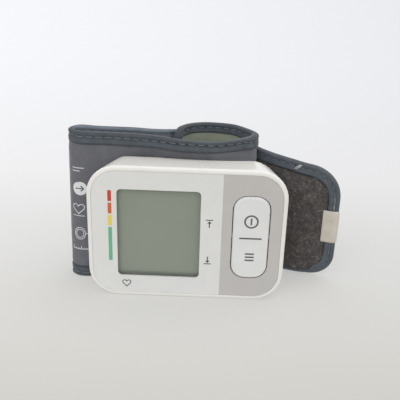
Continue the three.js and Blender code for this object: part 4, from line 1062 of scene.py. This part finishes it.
def arrow_sign(u, v, up):
    """Upper or lower reading: an arrow against a bar."""
    way = 1 if up else -1
    tip = v + way * 1.5
    neck, rule = tip - way * 1.0, tip + way * 0.45
    return [
        stroke([(u, v - way * 1.5), (u, tip - way * 0.5)], 0.5),
        ([(u - 1.0, neck), (u + 1.0, neck), (u, tip)], [(0, 1, 2) if up else (0, 2, 1)]),
        stroke([(u - 1.5, rule), (u + 1.5, rule)], 0.45),
    ]


def heart(u, v, size, steps=26):
    """Outline of a heart for the pulse."""
    out = []
    for k in range(steps + 1):
        a = 2 * math.pi * k / steps
        x = 16 * math.sin(a) ** 3
        y = 13 * math.cos(a) - 5 * math.cos(2 * a) - 2 * math.cos(3 * a) - math.cos(4 * a)
        out.append((u + size * x / 17, v + size * (y + 2) / 17))
    return out


def joined(shapes):
    points, faces = [], []
    for part_points, part_faces in shapes:
        base = len(points)
        points += part_points
        faces += [tuple(base + k for k in f) for f in part_faces]
    return points, faces


# Prints on the face and the key
FACE_Y, KEY_Y, RULE_Y = -4.02, -4.62, -4.37
INK_THICKNESS = 0.00003
BAR_X, BAR_HALF = -32.3, 0.78
BARS = [
    ("bar_red", 44.6, 49.5, RED), ("bar_orange", 39.0, 43.9, ORANGE),
    ("bar_yellow", 33.5, 38.3, YELLOW), ("bar_green", 17.1, 32.8, GREEN),
]
KEY_X, POWER_Z, MEMORY_Z, RULE_Z, KEY_STROKE = 27.1, 37.8, 21.3, 30.0, 0.72


def flat_print(name, shapes, y, material, body):
    """Print on a face that looks along -Y: shapes are in x and z."""
    points, faces = joined(shapes)
    made = piece(name, [(u, y, v) for u, v in points], faces, material, None, points, smooth=False)
    solid = made.modifiers.new("ink", "SOLIDIFY")
    solid.thickness = INK_THICKNESS
    solid.offset = 0
    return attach(made, body)


for name, bottom, top, material in BARS:
    shape = bar(BAR_X - BAR_HALF, BAR_X + BAR_HALF, bottom, top)
    flat_print(name, [shape], FACE_Y, material, "monitor")
face_signs = {
    "sign_upper": arrow_sign(9.6, 35.6, True),
    "sign_lower": arrow_sign(9.3, 19.0, False),
    "sign_pulse": [stroke(heart(-25.6, 6.1, 1.9), 0.42)],
}
for name, shapes in face_signs.items():
    flat_print(name, shapes, FACE_Y, INK, "monitor")
power_sign = [
    stroke(arc(KEY_X, POWER_Z, 2.68, 0, 360, 48), KEY_STROKE),
    stroke([(KEY_X, POWER_Z - 1.5), (KEY_X, POWER_Z + 1.5)], KEY_STROKE),
]
memory_sign = [
    stroke([(KEY_X - 1.9, MEMORY_Z + rise), (KEY_X + 1.9, MEMORY_Z + rise)], KEY_STROKE)
    for rise in (-1.5, 0, 1.5)
]
key_rule = [bar(KEY_X - 4.75, KEY_X + 4.75, RULE_Z - 0.38, RULE_Z + 0.38)]
flat_print("sign_power", power_sign, KEY_Y, INK, "rocker")
flat_print("sign_memory", memory_sign, KEY_Y, INK, "rocker")
flat_print("key_rule", key_rule, RULE_Y, INK, "rocker")

# Generic signs on the outer cloth, beside the housing
PRINT_LIFT, OVERPRINT_LIFT = 0.035, 0.06
# Middle line of the prints, between two stops of the route
PRINT_X, PRINT_FROM, PRINT_TO = -49.0, FINE * 20, FINE * 17
PRINT_S = look_up(PRINT_X, (LINE[PRINT_FROM:PRINT_TO:-1, 0], LENGTHS[PRINT_FROM:PRINT_TO:-1]))


def on_cloth(s, z, lift):
    """Point just over the cuff's outer cloth."""
    stops, face = SHEETS["cuff_cloth"]
    i = int(np.clip(np.searchsorted(stops, s) - 1, 0, len(stops) - 2))
    a = (s - stops[i]) / (stops[i + 1] - stops[i])
    before, after = (
        np.array([np.interp(z, row[:, 2], row[:, c]) for c in range(2)]) for row in (face[i], face[i + 1])
    )
    x, y = before * (1 - a) + after * a + outward(s) * lift
    return (x, y, z)


def cuff_print(name, shapes, material=CUFF_PRINT, lift=PRINT_LIFT):
    """Print on the cloth: u runs to the reader's right from the prints' middle line, v is the height."""
    points, faces = joined(shapes)
    placed = [on_cloth(PRINT_S - u, v, lift) for u, v in points]
    return piece(name, placed, faces, material, "monitor", points)


cuff_print("cuff_sign_top", [
    stroke(line((-2.6, 51.6), (2.4, 51.6)), 0.34),
    stroke(line((-2.6, 50.2), (0.6, 50.2)), 0.34),
])
cuff_print("cuff_sign_disc", [disc(0.6, 42.2, 3.1)])
arrow = [
    stroke(line((-1.2, 42.2), (1.9, 42.2)), 0.5),
    stroke(line((0.9, 43.4), (2.1, 42.2), (0.9, 41.0)), 0.5),
]
cuff_print("cuff_sign_arrow", arrow, INK, OVERPRINT_LIFT)
cuff_print("cuff_sign_heart", [
    stroke(heart(-0.2, 32.6, 2.7, 40), 0.32),
    stroke(line((-2.8, 29.4), (2.4, 29.4)), 0.3),
])
cuff_print("cuff_sign_band", [
    ring(0.2, 21.0, 2.8, 0.32),
    ring(0.2, 21.0, 1.9, 0.28),
    stroke(line((2.4, 21.0), (4.4, 21.0)), 0.32),
    stroke(line((3.6, 20.3), (4.4, 21.0), (3.6, 21.7)), 0.3),
])
ticks = [(-3.0 + 1.2 * k, 14.7 if k % 3 == 0 else 14.0) for k in range(7)]
cuff_print("cuff_sign_range", [
    stroke(line((-3.0, 13.4), (4.4, 13.4)), 0.32),
    *(stroke(line((u, 13.4), (u, head)), 0.28) for u, head in ticks),
])

# Floor, backdrop and light
STAGE_GLOW = 0.58
# Painted tones from the front of the floor to the backdrop: darker towards the front, as painted shade
STAGE_TONES = tones(
    (0.0, (183, 177, 166)), (0.16, (195, 191, 183)), (0.3, (211, 210, 206)), (0.6, (231, 231, 232)),
    (1.0, (235, 236, 239)),
)
FLOOR_NEAR, FLOOR_FAR, SWEEP_RADIUS, WALL_TOP, STAGE_HALF = -900, 260, 320, 900, 1500


def stage_material():
    """Paper of a light tent, with painted light: part of its brightness is its own glow, which softens
    shadows, and its tones are painted.
    """
    made = Finish("stage_paper", 0.95, 0.05)
    drift = made.math("ADD", made.axis("Y"), made.math("MULTIPLY", made.noise(4.0, detail=2.0), 0.04))
    depth = made.math("MULTIPLY", made.math("ADD", drift, 0.2), 1.6)
    # Painted light: lighter to the left and darker to the right
    across = made.ranged(made.axis("X"), -0.25, 0.25, 1.075, 0.915)
    tone = made.scaled(made.ramp(depth, STAGE_TONES), across)
    made.colour(made.scaled(tone, 1 - STAGE_GLOW))
    made.link(tone, made.shader.inputs["Emission Color"])
    made.set("Emission Strength", STAGE_GLOW)
    made.bump(made.noise(260.0), 0.05, distance=0.0002)
    return made.made


def sweep():
    """Floor that curves up into a backdrop."""
    profile = [(FLOOR_NEAR, 0), (FLOOR_FAR, 0)]
    for k in range(1, 13):
        angle = k * math.pi / 24
        profile.append((FLOOR_FAR + SWEEP_RADIUS * math.sin(angle), SWEEP_RADIUS * (1 - math.cos(angle))))
    profile.append((FLOOR_FAR + SWEEP_RADIUS, WALL_TOP))
    points = [(x, y, z) for y, z in profile for x in (-STAGE_HALF, STAGE_HALF)]
    made = piece("stage", points, band_faces(len(profile)), stage_material())


def lamp(name, place, aim, size, power):
    """Soft rectangular light turned to a point."""
    data = bpy.data.lights.new(name, "AREA")
    data.shape = "RECTANGLE"
    data.size, data.size_y = size
    data.energy = power
    made = bpy.data.objects.new(name, data)
    scene.collection.objects.link(made)
    made.location = place
    made.rotation_euler = (Vector(aim) - Vector(place)).to_track_quat("-Z", "Y").to_euler()


sweep()
lamp("soft_front", (-0.25, -0.85, 0.72), (0, 0.02, 0.03), (1.2, 0.9), 5.7)
lamp("soft_back", (0.4, 0.3, 0.95), (0, 0.05, 0.0), (0.8, 0.8), 3.4)
lamp("soft_right", (0.8, -0.5, 0.45), (0, 0.02, 0.03), (0.8, 0.8), 0.9)

world = bpy.data.worlds.new("studio")
scene.world = world
world.use_nodes = True
sky = world.node_tree.nodes["Background"]
sky.inputs["Color"].default_value = (1, 1, 1, 1)
sky.inputs["Strength"].default_value = 0.72
